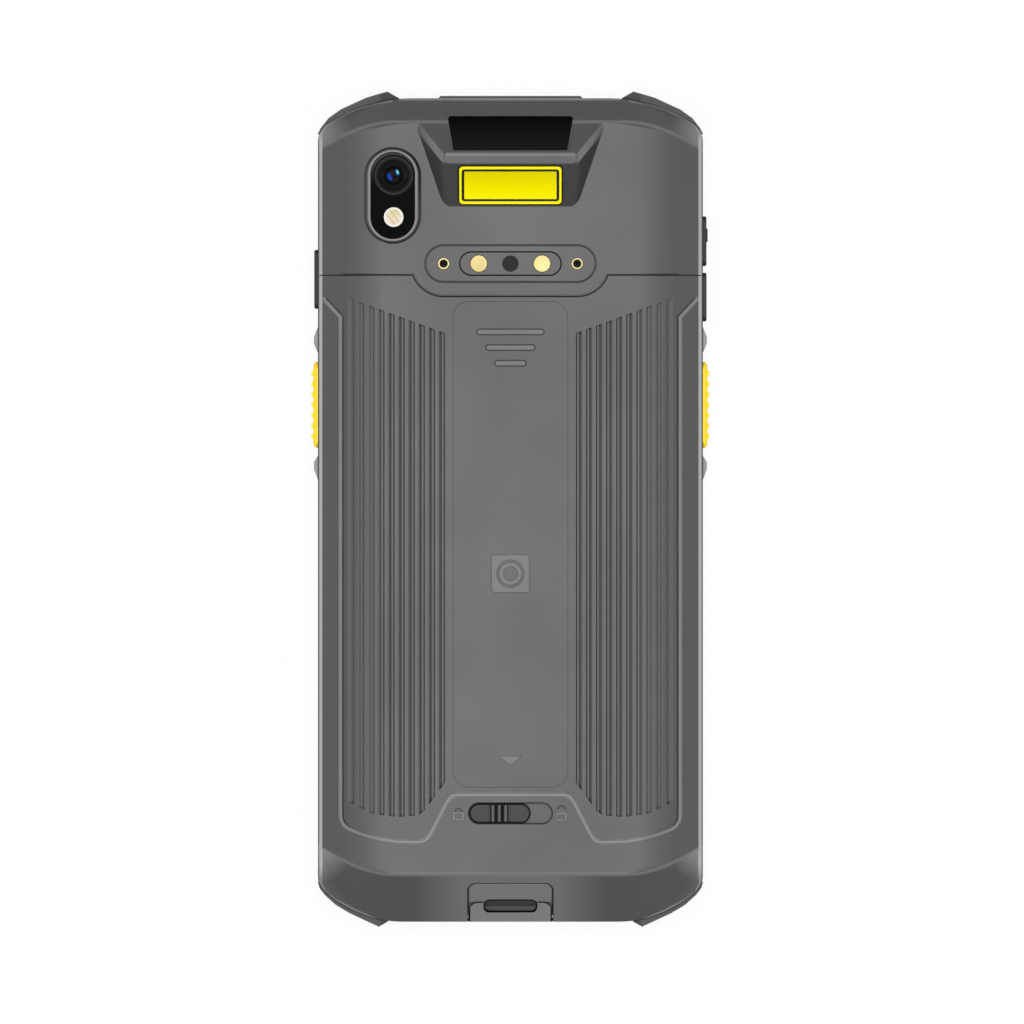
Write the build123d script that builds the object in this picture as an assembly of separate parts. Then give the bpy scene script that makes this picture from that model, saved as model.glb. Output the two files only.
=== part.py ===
from build123d import *
from math import atan2, cos, hypot, radians, sin
import os

# Rugged handheld barcode terminal, lying on its screen.
# Millimetres. +Z comes out of the back, +Y runs to the scanner end, +X is to the right as seen
# from behind. The origin is the centre of the footprint, on the plane of the front rim.

os.makedirs("parts", exist_ok=True)

# ---------------------------------------------------------------- driving dimensions
# Body outline. Each end is (end Y, corner reach in X, corner drop in Y) at one level.
HALF_WIDTH = 37.5
FRAME_TOP_Z = 9.4
TOP_END_Y, TOP_REACH, TOP_DROP = 80.1, 18.5, 8.4
LOW_END_Y, LOW_REACH, LOW_DROP = 80.4, 16.5, 8.8
CORNER_RADIUS = 4.0
WALL = 1.8
FRAME_WALL = 2.0
SLIP = 0.15

# Rear shell section: flat back, shoulder arc, slope, bright edge strip.
BACK_Z = 16.5
FLAT_HALF = HALF_WIDTH - 13.5
SHOULDER_RADIUS = 14.8
SHOULDER_ANGLE = 35.0
STRIP_X, STRIP_Z = HALF_WIDTH - 0.9, 10.95
STRIP_STEP = 0.1
CREASE_HALF_WIDTH = HALF_WIDTH - 4.1
STRIP_HALF_WIDTH = HALF_WIDTH - 0.6
TOP_CREASE_Y, TOP_CREASE_DROP = TOP_END_Y - 5.0, 6.2
LOW_CREASE_Y, LOW_CREASE_DROP = LOW_END_Y - 9.45, 7.0
TOP_STRIP_DROP, LOW_STRIP_DROP = 11.6, 15.6
LOW_STRIP_Y = LOW_END_Y - 2.06
LOFT_TOP_Z, LOFT_FOOT_Z = BACK_Z + 1.0, FRAME_TOP_Z - 1.0

# Scanner hump.
RIDGE_Y, RIDGE_Z = TOP_END_Y - 10.8, 22.9
RIDGE_BACK_Y = RIDGE_Y - 2.1
LABEL_FOOT_Y = RIDGE_BACK_Y - 8.3
HUMP_RIDGE_X = HALF_WIDTH - 24.3
HUMP_FOOT_TOP = (HUMP_RIDGE_X + 4.7, RIDGE_Y + 4.2)
HUMP_FOOT_LOW = (HUMP_RIDGE_X + 0.3, RIDGE_Y - 8.8)
BEVEL_TOP = (HUMP_RIDGE_X + 4.2, RIDGE_Y + 5.46)
BEVEL_RIDGE_X = HUMP_RIDGE_X - 0.7
HUMP_ROUND = 2.4
HUMP_SIDE_LIMIT = HUMP_RIDGE_X + 5.8
SCAN_PROUD = 0.02
END_LEDGE = 0.5
CUT_TOP_Z = RIDGE_Z + 3.0

# Seam between rear housing and battery cover, and the contact capsule that it runs round.
SEAM_Y = TOP_END_Y - 34.43
SEAM_GAP = 0.2
LIP_REACH, LIP_THICK = 1.2, 0.5
CAPSULE_Y = SEAM_Y + 2.13
INSERT_SPACING = 26.0
CAPSULE_HALF = INSERT_SPACING / 2 + 3.8
CAPSULE_RADIUS = 3.78
CAPSULE_DEPTH = 0.6
SEAM_POCKET_RADIUS = CAPSULE_RADIUS + 2.55
INSERT_HOLE_R, INSERT_R, INSERT_LENGTH = 0.8, 1.1, 3.4
CARRIER_HALF, CARRIER_RADIUS, CARRIER_PROUD = INSERT_SPACING / 2 - 3.13, 2.28, 0.2
CONTACT_X, CONTACT_R = CARRIER_HALF - 3.72, 1.64
PLUG_R = 1.56

# Front: glass, display and the plates behind them.
GLASS_HALF_X, GLASS_RADIUS = HALF_WIDTH - 3.2, 6.0
GLASS_LOW_Y, GLASS_TOP_Y = -LOW_END_Y + 4.0, TOP_END_Y - 3.7
GLASS_Z, GLASS_THICK, SEAL_THICK = 0.5, 0.8, 0.2
SEAL_WIDTH = 1.8
FRONT_ROUND = 1.6
DISPLAY_HALF_X = GLASS_HALF_X - 3.3
DISPLAY_LOW_Y, DISPLAY_TOP_Y = GLASS_LOW_Y + 10.4, GLASS_TOP_Y - 10.4
CHASSIS_Z, CHASSIS_THICK = 3.0, 1.2
BOARD_Z, BOARD_THICK = 5.2, 1.0
BOARD_HALF_X, BOARD_LOW_Y, BOARD_TOP_Y = HALF_WIDTH - 6.1, SEAM_Y + 0.93, TOP_END_Y - 3.1
SUB_BOARD_HALF_X = HALF_WIDTH - 7.5
SUB_BOARD_LOW_Y, SUB_BOARD_TOP_Y = -LOW_END_Y + 2.6, -LOW_END_Y + 14.4

# Battery bay under the cover.
BATTERY_HALF_X = HALF_WIDTH - 10.0
BATTERY_LOW_Y, BATTERY_TOP_Y = -LOW_END_Y + 26.4, SEAM_Y - 8.17
BATTERY_THICK = 8.6
BAY_WALL, BAY_FLOOR, BAY_SLACK = 1.0, 0.8, 0.3
BAY_FLANGE = 1.4
BAY_WALL_TOP_Z = BACK_Z - 3.5

# Battery cover relief.
PANEL_HALF_X, PANEL_PROUD = 11.15, 0.12
PANEL_LOW_Y, PANEL_TOP_Y = -LOW_END_Y + 26.3, SEAM_Y - 5.27
GROOVE_COUNT, GROOVE_FIRST_X = 10, PANEL_HALF_X + 2.2
GROOVE_PITCH = (HALF_WIDTH - 6.5 - GROOVE_FIRST_X) / (GROOVE_COUNT - 1)
GROOVE_WIDTH, GROOVE_DEPTH, GROOVE_OUTER_RUN, GROOVE_INNER_RUN = 1.2, 0.45, 0.6, 0.2
BEAD_WIDTH, BEAD_PROUD = 0.57, 0.25
MARK_SIZE, MARK_Y = 7.26, -12.55
HINGE_TAB_X, HINGE_TAB_HALF = CAPSULE_HALF + 5.2, 1.8

# Latch.
SLOT_HALF_X, SLOT_HALF_Y, SLOT_Y, SLOT_DEPTH = 8.15, 2.02, -LOW_END_Y + 21.2, 1.3
SLIDER_LENGTH, LATCH_TRAVEL = 11.9, 4.1
BOLT_REACH, KEEPER_GAP = SLOT_HALF_X + 5.85, 0.3

# Side keys: (side, low Y, high Y, proud of the side). Travel is inward.
KEY_Z, KEY_HALF_HEIGHT = 5.9, 2.1
KEY_TRAVEL, TRIGGER_TRAVEL = 0.5, 0.8
FUNCTION_KEY = (-1, SEAM_Y - 6.61, SEAM_Y + 4.89, 0.74)
POWER_KEY = (1, SEAM_Y + 1.73, SEAM_Y + 11.43, 0.72)
VOLUME_KEY = (1, SEAM_Y - 9.07, SEAM_Y + 0.43, 0.74)
POWER_PAD = (POWER_KEY[1] + 4.7, POWER_KEY[1] + 7.3, 0.95)
TRIGGER_LOW_Y, TRIGGER_TOP_Y, TRIGGER_PROUD = SEAM_Y - 33.74, SEAM_Y - 16.97, 0.9
TRIGGER_HALF_HEIGHT = KEY_HALF_HEIGHT + 0.2
TOOTH_COUNT, TOOTH_PITCH, TOOTH_LENGTH, TOOTH_PROUD = 7, 2.03, 0.93, 0.4
FLANGE_THICK, FLANGE_LIP, FLANGE_RISE = 0.6, 0.6, 0.4
BEZEL_DEPTH, BEZEL_HALF_HEIGHT = 1.2, 3.3
BEZEL_LOW_Y, BEZEL_TOP_Y = TRIGGER_LOW_Y - 6.73, TRIGGER_TOP_Y + 7.3
GUARD_PROUD = 0.8
SIDE_BOARD_X, SIDE_BOARD_THICK = HALF_WIDTH - 5.5, 0.6

# Camera.
CAMERA_X, CAMERA_Y = -HALF_WIDTH + 14.6, TOP_END_Y - 19.05
CAMERA_BEZEL_W, CAMERA_BEZEL_H, CAMERA_BEZEL_Z = 10.9, 18.7, BACK_Z + 0.6
CAMERA_GLASS_W, CAMERA_GLASS_H = CAMERA_BEZEL_W - 2.3, CAMERA_BEZEL_H - 1.8
CAMERA_GLASS_THICK = 1.0
LENS_X, LENS_Y = CAMERA_X + 0.18, CAMERA_Y + 3.91
LENS_RING_R, LENS_CONE_R, LENS_R = 3.74, 3.06, 1.64
FLASH_Y, FLASH_R = CAMERA_Y - 4.2, 1.91

# Charging port with its flap. The knuckle is tangent to the flap's outer face.
PORT_HALF_X, PORT_TOP_Y, PORT_RADIUS = 8.4, -LOW_END_Y + 7.6, 1.6
FLAP_HALF_X, FLAP_RADIUS, FLAP_THICK = PORT_HALF_X - 0.25, 1.95, 1.2
FLAP_TOP_Y = -LOW_END_Y + 3.7
NAIL_HALF_X, NAIL_Y, NAIL_HALF_Y = 5.27, -LOW_END_Y + 3.07, 1.27
USB_WIDTH, USB_HEIGHT, USB_LENGTH = 8.94, 3.26, 7.3
HINGE_PIN_R, KNUCKLE_R = 0.4, 1.1
FLAP_AXIS_Y, FLAP_AXIS_Z = -LOW_END_Y + KNUCKLE_R, 2.9

# Corner bumpers: outer edge of the top-left and bottom-left ones, as steps inward from the side
# and outward from the end.
BUMPER_TOP = [(0, -7.0), (0.6, -5.8), (2.1, -3.9), (4.5, -2.2), (9.4, 0.05), (11.9, 0.8),
              (13.6, 1.25), (15.8, 0)]
BUMPER_LOW = [(0, -7.7), (0.4, -6.5), (1.4, -5.2), (3.5, -3.3), (6.2, -1.7), (9.2, -0.3),
              (11.9, 0.95), (13.6, 0)]
BUMPER_LOW_Z, BUMPER_TOP_Z = 0.9, FRAME_TOP_Z - 0.2
TOOTH_STEP, TOOTH_RISE = 0.5, 0.1

SCREW_R, SCREW_HEAD_R, SCREW_HEAD_THICK = 0.7, 1.1, 0.7


# ---------------------------------------------------------------- small helpers
def block(x0, x1, y0, y1, z0, z1):
    """Box between two corners."""
    centre = Pos((x0 + x1) / 2, (y0 + y1) / 2, (z0 + z1) / 2)
    return centre * Box(abs(x1 - x0), abs(y1 - y0), abs(z1 - z0))


def slab(x0, x1, y0, y1, z0, z1, radius):
    """Box with rounded vertical edges."""
    face = Pos((x0 + x1) / 2, (y0 + y1) / 2, z0) * RectangleRounded(x1 - x0, y1 - y0, radius)
    return extrude(face, z1 - z0)


def disc(x, y, radius, z0, z1):
    return Pos(x, y, (z0 + z1) / 2) * Cylinder(radius, z1 - z0)


def pill(x, y, half_x, radius, z0, z1):
    """Upright prism of a stadium that lies along X; half_x runs to its end."""
    return extrude(Pos(x, y, z0) * SlotOverall(2 * half_x, 2 * radius), z1 - z0)


def tall_pill(x, y, width, height, z0, z1):
    """Upright prism of a stadium that lies along Y."""
    return extrude(Pos(x, y, z0) * Rot(0, 0, 90) * SlotOverall(height, width), z1 - z0)


def prism(points, z0, z1):
    """Upright prism over a polygon."""
    return extrude(Pos(0, 0, z0) * make_face(Polyline(*points, close=True)), z1 - z0)


def section_prism(points, y0, y1):
    """Prism along Y over a polygon of (X, Z) points."""
    face = make_face(Polyline(*[(x, y0, z) for x, z in points], close=True))
    return extrude(face, amount=y1 - y0, dir=(0, 1, 0))


def mirrored(shape):
    return mirror(shape, Plane.YZ)


def arc(centre, start, end, z):
    """Short circular arc round centre from start to end, in a level plane."""
    radius = hypot(start[0] - centre[0], start[1] - centre[1])
    mid_x = start[0] + end[0] - 2 * centre[0]
    mid_y = start[1] + end[1] - 2 * centre[1]
    scale = radius / hypot(mid_x, mid_y)
    middle = (centre[0] + mid_x * scale, centre[1] + mid_y * scale, z)
    return Edge.make_three_point_arc((*start, z), middle, (*end, z))


def meet(p, d, q, e):
    """Where the line through p along d meets the line through q along e."""
    across = d[0] * e[1] - d[1] * e[0]
    t = ((q[0] - p[0]) * e[1] - (q[1] - p[1]) * e[0]) / across
    return (p[0] + d[0] * t, p[1] + d[1] * t)


def quarter(half_width, end_y, reach, drop, radius):
    """Corner from the side to the end as two tangent arcs: its points and arc centres."""
    large = (reach**2 + drop**2 - 2 * reach * radius) / (2 * (drop - radius))
    small_centre = (half_width - radius, end_y - drop)
    large_centre = (half_width - reach, end_y - large)
    span = hypot(small_centre[0] - large_centre[0], small_centre[1] - large_centre[1])
    along = ((small_centre[0] - large_centre[0]) / span, (small_centre[1] - large_centre[1]) / span)
    join = (large_centre[0] + large * along[0], large_centre[1] + large * along[1])
    side_point = (half_width, end_y - drop)
    end_point = (half_width - reach, end_y)
    return side_point, small_centre, join, large_centre, end_point


def flip(point, x_sign, y_sign):
    return (point[0] * x_sign, point[1] * y_sign)


def ring(half_width, top, low, radius, z, inset=0.0, end_inset=0.0):
    """Closed outline at one level; top and low are (end Y, reach, drop), both positive."""
    corner = max(radius - inset, 0.5)
    corners = []
    for end_y, reach, drop in (top, low):
        corners.append(quarter(half_width - inset, end_y - end_inset, reach - inset,
                               drop - end_inset, corner))
    edges = []
    last = None
    for x_sign, y_sign, shape in ((1, 1, 0), (-1, 1, 0), (-1, -1, 1), (1, -1, 1)):
        side, small, join, large, end = [flip(p, x_sign, y_sign) for p in corners[shape]]
        arcs = [(small, side, join), (large, join, end)]
        if x_sign * y_sign < 0:
            arcs = [(large, end, join), (small, join, side)]
        if last is not None:
            edges.append(Edge.make_line((*last, z), (*arcs[0][1], z)))
        else:
            first = arcs[0][1]
        edges += [arc(centre, start, stop, z) for centre, start, stop in arcs]
        last = arcs[-1][2]
    edges.append(Edge.make_line((*last, z), (*first, z)))
    return Wire(edges)


# ---------------------------------------------------------------- body forms
TOP_OUTLINE = (TOP_END_Y, TOP_REACH, TOP_DROP)
LOW_OUTLINE = (LOW_END_Y, LOW_REACH, LOW_DROP)


def outline_prism(z0, z1, inset=0.0):
    """Upright prism over the body outline."""
    wire = ring(HALF_WIDTH, TOP_OUTLINE, LOW_OUTLINE, CORNER_RADIUS, z0, inset, inset)
    return extrude(make_face(wire), z1 - z0)


def shoulder_prism(inset):
    """Cross-section of the rear shells, run along the whole body."""
    lean = radians(SHOULDER_ANGLE)
    radius = SHOULDER_RADIUS - inset
    centre = (FLAT_HALF, BACK_Z - SHOULDER_RADIUS)
    arc_end = (centre[0] + radius * sin(lean), centre[1] + radius * cos(lean))
    arc_mid = (centre[0] + radius * sin(lean / 2), centre[1] + radius * cos(lean / 2))
    slope = (cos(lean), -sin(lean))
    foot = (HALF_WIDTH - STRIP_STEP, FRAME_TOP_Z)
    strip = (foot[0] - STRIP_X, foot[1] - STRIP_Z)
    length = hypot(*strip)
    outward = (-strip[1] / length, strip[0] / length)
    strip_foot = (foot[0] - outward[0] * inset, foot[1] - outward[1] * inset)
    knee = meet(arc_end, slope, strip_foot, strip)
    base = meet(strip_foot, strip, (0, FRAME_TOP_Z), (1, 0))
    floor = LOFT_FOOT_Z - 1
    right = [(base[0], floor), base, knee, arc_end]
    left = [(-x, z) for x, z in reversed(right)]
    at = lambda point: (point[0], -LOW_END_Y - 2, point[1])
    top_z = centre[1] + radius
    lines = [Edge.make_line(at(a), at(b)) for a, b in zip(right, right[1:])]
    lines.append(Edge.make_three_point_arc(at(arc_end), at(arc_mid), at((FLAT_HALF, top_z))))
    lines.append(Edge.make_line(at((FLAT_HALF, top_z)), at((-FLAT_HALF, top_z))))
    lines.append(Edge.make_three_point_arc(at((-FLAT_HALF, top_z)),
                                           at((-arc_mid[0], arc_mid[1])), at(left[0])))
    lines += [Edge.make_line(at(a), at(b)) for a, b in zip(left, left[1:])]
    lines.append(Edge.make_line(at(left[-1]), at(right[0])))
    return extrude(make_face(Wire(lines)), TOP_END_Y + LOW_END_Y + 4, dir=(0, 1, 0))


def beyond(low, high, low_z, high_z, z):
    """Value at z on the line through two levels."""
    return low + (high - low) * (z - low_z) / (high_z - low_z)


def crease_level(z):
    """Outline of the sloping end bands at a level between the strip and the loft's top."""
    width = beyond(STRIP_HALF_WIDTH, CREASE_HALF_WIDTH, STRIP_Z, BACK_Z, z)
    ends = []
    for strip_y, crease_y, outline, strip_drop, crease_drop in (
            (TOP_END_Y, TOP_CREASE_Y, TOP_OUTLINE, TOP_STRIP_DROP, TOP_CREASE_DROP),
            (LOW_STRIP_Y, LOW_CREASE_Y, LOW_OUTLINE, LOW_STRIP_DROP, LOW_CREASE_DROP)):
        end_y = beyond(strip_y, crease_y, STRIP_Z, BACK_Z, z)
        drop = beyond(strip_drop, crease_drop, STRIP_Z, BACK_Z, z)
        tangent_x = HALF_WIDTH - outline[1]
        ends.append((end_y, width - tangent_x, drop))
    return width, ends[0], ends[1]


def end_bands(inset):
    """Body between the outline and the sloping bands at both ends."""
    rings = [ring(HALF_WIDTH, TOP_OUTLINE, LOW_OUTLINE, CORNER_RADIUS, z, inset, inset)
             for z in (LOFT_FOOT_Z, FRAME_TOP_Z)]
    band_angle = atan2(BACK_Z - STRIP_Z, TOP_END_Y - TOP_CREASE_Y)
    for z in (STRIP_Z, LOFT_TOP_Z):
        width, top, low = crease_level(z)
        rings.append(ring(width, top, low, CORNER_RADIUS, z, inset, inset / sin(band_angle)))
    return Solid.make_loft(rings, ruled=True)


def rear_form(inset=0.0):
    """Solid under the rear shells' outer surface, moved inward by inset."""
    return end_bands(inset) & shoulder_prism(inset)


def cut_beyond(solid, points, inward, inset):
    """Keep the side of a plane through three points that holds inward, moved in by inset."""
    origin, a, b = [Vector(*p) for p in points]
    normal = (a - origin).cross(b - origin).normalized()
    if normal.dot(Vector(*inward) - origin) > 0:
        normal = normal * -1
    return split(solid, bisect_by=Plane(origin - normal * inset, z_dir=normal), keep=Keep.BOTTOM)


def scan_height(y):
    """Height of the scan face over Y."""
    return RIDGE_Z - (y - RIDGE_Y) * (RIDGE_Z - STRIP_Z) / (TOP_END_Y - RIDGE_Y) + SCAN_PROUD


def hump_form(inset=0.0):
    """Convex scanner hump, every face moved inward by inset."""
    inside = (0, RIDGE_BACK_Y - 1.2, BACK_Z - 1.5)
    body = block(-HUMP_SIDE_LIMIT + inset, HUMP_SIDE_LIMIT - inset, LABEL_FOOT_Y - 6,
                 TOP_END_Y - SCAN_PROUD - inset, BACK_Z - 4.5, RIDGE_Z - inset)
    scan = [(0, RIDGE_Y, scan_height(RIDGE_Y)), (5, RIDGE_Y, scan_height(RIDGE_Y)),
            (0, TOP_END_Y, scan_height(TOP_END_Y))]
    label = [(0, RIDGE_BACK_Y, RIDGE_Z), (5, RIDGE_BACK_Y, RIDGE_Z), (0, LABEL_FOOT_Y, BACK_Z)]
    planes = [scan, label]
    for side in (1, -1):
        planes.append([(side * HUMP_FOOT_TOP[0], HUMP_FOOT_TOP[1], BACK_Z),
                       (side * HUMP_FOOT_LOW[0], HUMP_FOOT_LOW[1], BACK_Z),
                       (side * HUMP_RIDGE_X, RIDGE_BACK_Y, RIDGE_Z)])
        planes.append([(side * BEVEL_TOP[0], BEVEL_TOP[1], scan_height(BEVEL_TOP[1])),
                       (side * BEVEL_RIDGE_X, RIDGE_Y, RIDGE_Z),
                       (side * HUMP_RIDGE_X, RIDGE_BACK_Y, RIDGE_Z)])
    for points in planes:
        body = cut_beyond(body, points, inside, inset)
    if inset == 0:
        upright = [e for e in body.edges() if LABEL_FOOT_Y - 4 < e.center().Y < RIDGE_BACK_Y
                   and abs(e.center().X) > HUMP_RIDGE_X - 1 and e.bounding_box().size.Z > 3
                   and e.bounding_box().size.Y > 3 and abs(e.center().X) < HUMP_FOOT_TOP[0]]
        body = fillet(upright, HUMP_ROUND)
    return body


def scan_plane():
    """Plane on the scan face: X across, Y down the slope to the end, Z outward."""
    lean = atan2(RIDGE_Z - STRIP_Z, TOP_END_Y - RIDGE_Y)
    return Plane((0, RIDGE_Y, scan_height(RIDGE_Y)), x_dir=(1, 0, 0), z_dir=(0, sin(lean), cos(lean)))


def label_plane():
    """Plane on the label face: X across, Y up the slope to the ridge, Z outward."""
    rise, run = RIDGE_Z - BACK_Z, RIDGE_BACK_Y - LABEL_FOOT_Y
    middle = (0, (RIDGE_BACK_Y + LABEL_FOOT_Y) / 2, (RIDGE_Z + BACK_Z) / 2)
    return Plane(middle, x_dir=(1, 0, 0), z_dir=(0, -rise, run))


def envelope(inset):
    """Whole terminal without the hump, moved inward by inset."""
    return rear_form(inset) + outline_prism(0, FRAME_TOP_Z, inset)


def seam_region(gap):
    """Plan region of the rear housing, as a tall prism, grown by gap towards the cover."""
    upper = block(-HALF_WIDTH - 1, HALF_WIDTH + 1, SEAM_Y - gap, TOP_END_Y + 2, 0, RIDGE_Z + 2)
    radius = SEAM_POCKET_RADIUS + gap
    return upper + pill(0, CAPSULE_Y, INSERT_SPACING / 2 + radius, radius, 0, RIDGE_Z + 2)


FLAT_INNER_Z = BACK_Z - WALL
OUTER_HUMP = hump_form()
OUTER_FORM = rear_form()
INNER_FORM = rear_form(WALL) + hump_form(WALL)

# ---------------------------------------------------------------- side keys
WALL_INNER_X = HALF_WIDTH - FRAME_WALL
FLANGE_X = WALL_INNER_X - SLIP
FLANGE_BACK_X = FLANGE_X - FLANGE_THICK
SIDE_BOARD_FACE_X = SIDE_BOARD_X + SIDE_BOARD_THICK


def on_side(side, x0, x1, y0, y1, z0, z1):
    """Block on one side of the body, with x measured outward."""
    return block(min(side * x0, side * x1), max(side * x0, side * x1), y0, y1, z0, z1)


def side_bar(side, x0, x1, y0, y1, half_height, z, radius):
    """Block on one side whose corners, seen from that side, are rounded."""
    plane = Plane((side * x0, (y0 + y1) / 2, z), x_dir=(0, 1, 0), z_dir=(side, 0, 0))
    return extrude(plane * RectangleRounded(y1 - y0, 2 * half_height, radius), x1 - x0)


def key_window(side, low_y, top_y, half_height, z):
    """Hole for a key through the frame's side wall."""
    return side_bar(side, WALL_INNER_X - 1, HALF_WIDTH + 1, low_y - SLIP, top_y + SLIP,
                    half_height + SLIP, z, 1.0 + SLIP)


def key_rooms():
    """Space that each key's flange and its travel need behind the wall."""
    rooms = [(*key[:3], KEY_HALF_HEIGHT, KEY_TRAVEL) for key in (FUNCTION_KEY, POWER_KEY, VOLUME_KEY)]
    rooms += [(side, TRIGGER_LOW_Y, TRIGGER_TOP_Y, TRIGGER_HALF_HEIGHT, TRIGGER_TRAVEL)
              for side in (-1, 1)]
    for side, low_y, top_y, half_height, travel in rooms:
        rise = half_height + FLANGE_RISE + SLIP
        yield on_side(side, FLANGE_BACK_X - travel - SLIP, HALF_WIDTH, low_y - FLANGE_LIP - SLIP,
                      top_y + FLANGE_LIP + SLIP, KEY_Z - rise, KEY_Z + rise)


def side_key(side, low_y, top_y, proud):
    """Key cap with the flange that keeps it behind the wall."""
    cap = side_bar(side, FLANGE_BACK_X, HALF_WIDTH + proud, low_y, top_y, KEY_HALF_HEIGHT, KEY_Z, 1.0)
    outer = cap.faces().sort_by(Axis.X)[-1 if side > 0 else 0]
    cap = fillet(outer.edges(), 0.35)
    flange = side_bar(side, FLANGE_BACK_X, FLANGE_X, low_y - FLANGE_LIP, top_y + FLANGE_LIP,
                      KEY_HALF_HEIGHT + FLANGE_RISE, KEY_Z, 1.0)
    return cap + flange


def power_key():
    side = POWER_KEY[0]
    low_y, top_y, proud = POWER_PAD
    pad = side_bar(side, HALF_WIDTH, HALF_WIDTH + proud, low_y, top_y, KEY_HALF_HEIGHT - 0.6, KEY_Z, 0.6)
    return side_key(*POWER_KEY) + pad


def volume_key():
    """Rocker: its flange is waisted, and shorter beside the power key, so that it can tilt."""
    side, low_y, top_y, _ = VOLUME_KEY
    key = side_key(*VOLUME_KEY)
    for tip, inner in ((low_y, low_y + 3.4), (top_y, top_y - 3.4)):
        outer = tip + (FLANGE_LIP + 1) * (1 if tip > inner else -1)
        wedge = [(side * (FLANGE_X + 0.01), inner), (side * (FLANGE_X + 0.01), outer),
                 (side * (FLANGE_X - 0.32), outer)]
        key -= prism(wedge, KEY_Z - 4, KEY_Z + 4)
    flange_end = top_y + FLANGE_LIP
    return key - block(side * FLANGE_BACK_X, side * FLANGE_X, flange_end - 0.25, flange_end + 1,
                       KEY_Z - 4, KEY_Z + 4)


def scan_trigger(side):
    """Long ribbed trigger key."""
    low_y, top_y = TRIGGER_LOW_Y, TRIGGER_TOP_Y
    cap = side_bar(side, FLANGE_BACK_X, HALF_WIDTH + TRIGGER_PROUD, low_y, top_y,
                   TRIGGER_HALF_HEIGHT, KEY_Z, 1.4)
    outer = cap.faces().sort_by(Axis.X)[-1 if side > 0 else 0]
    cap = chamfer(outer.edges(), 0.5)
    flange = side_bar(side, FLANGE_BACK_X, FLANGE_X, low_y - FLANGE_LIP, top_y + FLANGE_LIP,
                      TRIGGER_HALF_HEIGHT + FLANGE_RISE, KEY_Z, 1.4)
    trigger = cap + flange
    middle = (low_y + top_y) / 2
    base_x = side * (HALF_WIDTH + TRIGGER_PROUD - 0.1)
    tip_x = side * (HALF_WIDTH + TRIGGER_PROUD + TOOTH_PROUD)
    for index in range(TOOTH_COUNT):
        y = middle + (index - (TOOTH_COUNT - 1) / 2) * TOOTH_PITCH
        half = TOOTH_LENGTH / 2
        tooth = [(base_x, y - half - 0.15), (tip_x, y - half + 0.1), (tip_x, y + half - 0.1),
                 (base_x, y + half + 0.15)]
        trigger += prism(tooth, KEY_Z - TRIGGER_HALF_HEIGHT + 0.8,
                         KEY_Z + TRIGGER_HALF_HEIGHT - 0.8)
    return trigger


def trigger_bezel(side):
    """Frame let into the side wall round a trigger, with a guard bump at each end."""
    plate = side_bar(side, HALF_WIDTH - BEZEL_DEPTH, HALF_WIDTH, BEZEL_LOW_Y, BEZEL_TOP_Y,
                     BEZEL_HALF_HEIGHT, KEY_Z, 2.0)
    for low, peak, high in ((BEZEL_LOW_Y + 0.2, BEZEL_LOW_Y + 3.3, BEZEL_LOW_Y + 5.4),
                            (BEZEL_TOP_Y - 5.8, BEZEL_TOP_Y - 3.1, BEZEL_TOP_Y - 0.2)):
        foot = side * (HALF_WIDTH - 0.1)
        tip = side * (HALF_WIDTH + GUARD_PROUD)
        bump = [(foot, low), (tip, peak - 0.7), (tip, peak + 0.7), (foot, high)]
        plate += prism(bump, KEY_Z - BEZEL_HALF_HEIGHT + 1.0, KEY_Z + BEZEL_HALF_HEIGHT - 1.0)
    return plate - key_window(side, TRIGGER_LOW_Y, TRIGGER_TOP_Y, TRIGGER_HALF_HEIGHT, KEY_Z)


def side_key_boards():
    """Upright boards that carry the key switches."""
    boards = []
    for side in (-1, 1):
        boards.append(on_side(side, SIDE_BOARD_X, SIDE_BOARD_FACE_X, TRIGGER_LOW_Y,
                              POWER_KEY[2], CHASSIS_Z + CHASSIS_THICK, FRAME_TOP_Z - BAY_FLANGE - 0.1))
    return boards


def key_switches():
    """One dome switch behind each key, two behind the rocker."""
    volume_middle = (VOLUME_KEY[1] + VOLUME_KEY[2]) / 2
    places = [(FUNCTION_KEY[0], (FUNCTION_KEY[1] + FUNCTION_KEY[2]) / 2, KEY_TRAVEL),
              (POWER_KEY[0], (POWER_KEY[1] + POWER_KEY[2]) / 2, KEY_TRAVEL),
              (VOLUME_KEY[0], volume_middle - 2.8, KEY_TRAVEL),
              (VOLUME_KEY[0], volume_middle + 2.8, KEY_TRAVEL)]
    trigger_middle = (TRIGGER_LOW_Y + TRIGGER_TOP_Y) / 2
    places += [(side, trigger_middle, TRIGGER_TRAVEL) for side in (-1, 1)]
    switches = []
    for side, y, travel in places:
        tip_x = FLANGE_BACK_X - travel - SLIP
        body = on_side(side, SIDE_BOARD_FACE_X, SIDE_BOARD_FACE_X + 0.7, y - 1.6, y + 1.6,
                       KEY_Z - 1.4, KEY_Z + 1.4)
        switches.append(body + on_side(side, SIDE_BOARD_FACE_X + 0.7, tip_x, y - 0.7, y + 0.7,
                                       KEY_Z - 0.7, KEY_Z + 0.7))
    return switches


# ---------------------------------------------------------------- front of the terminal
GLASS_BACK_Z = GLASS_Z + GLASS_THICK
LEDGE_Z = GLASS_BACK_Z + SEAL_THICK
SPEAKER_SLOT_Y, SPEAKER_SLOT_HALF, SPEAKER_SLOT_R = GLASS_TOP_Y - 4.8, 6.0, 0.7
EARPIECE_HALF_X, EARPIECE_HALF_Y = SPEAKER_SLOT_HALF + 0.5, 2.4
FRONT_CAMERA_X, FRONT_CAMERA_R = 14.0, 2.6
LED_X, LED_R = -14.0, 1.1
TRIM_HALF_X = HALF_WIDTH - TOP_REACH - 4.9
TRIM_DEPTH, TRIM_PROUD = 0.8, 0.45


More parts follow.
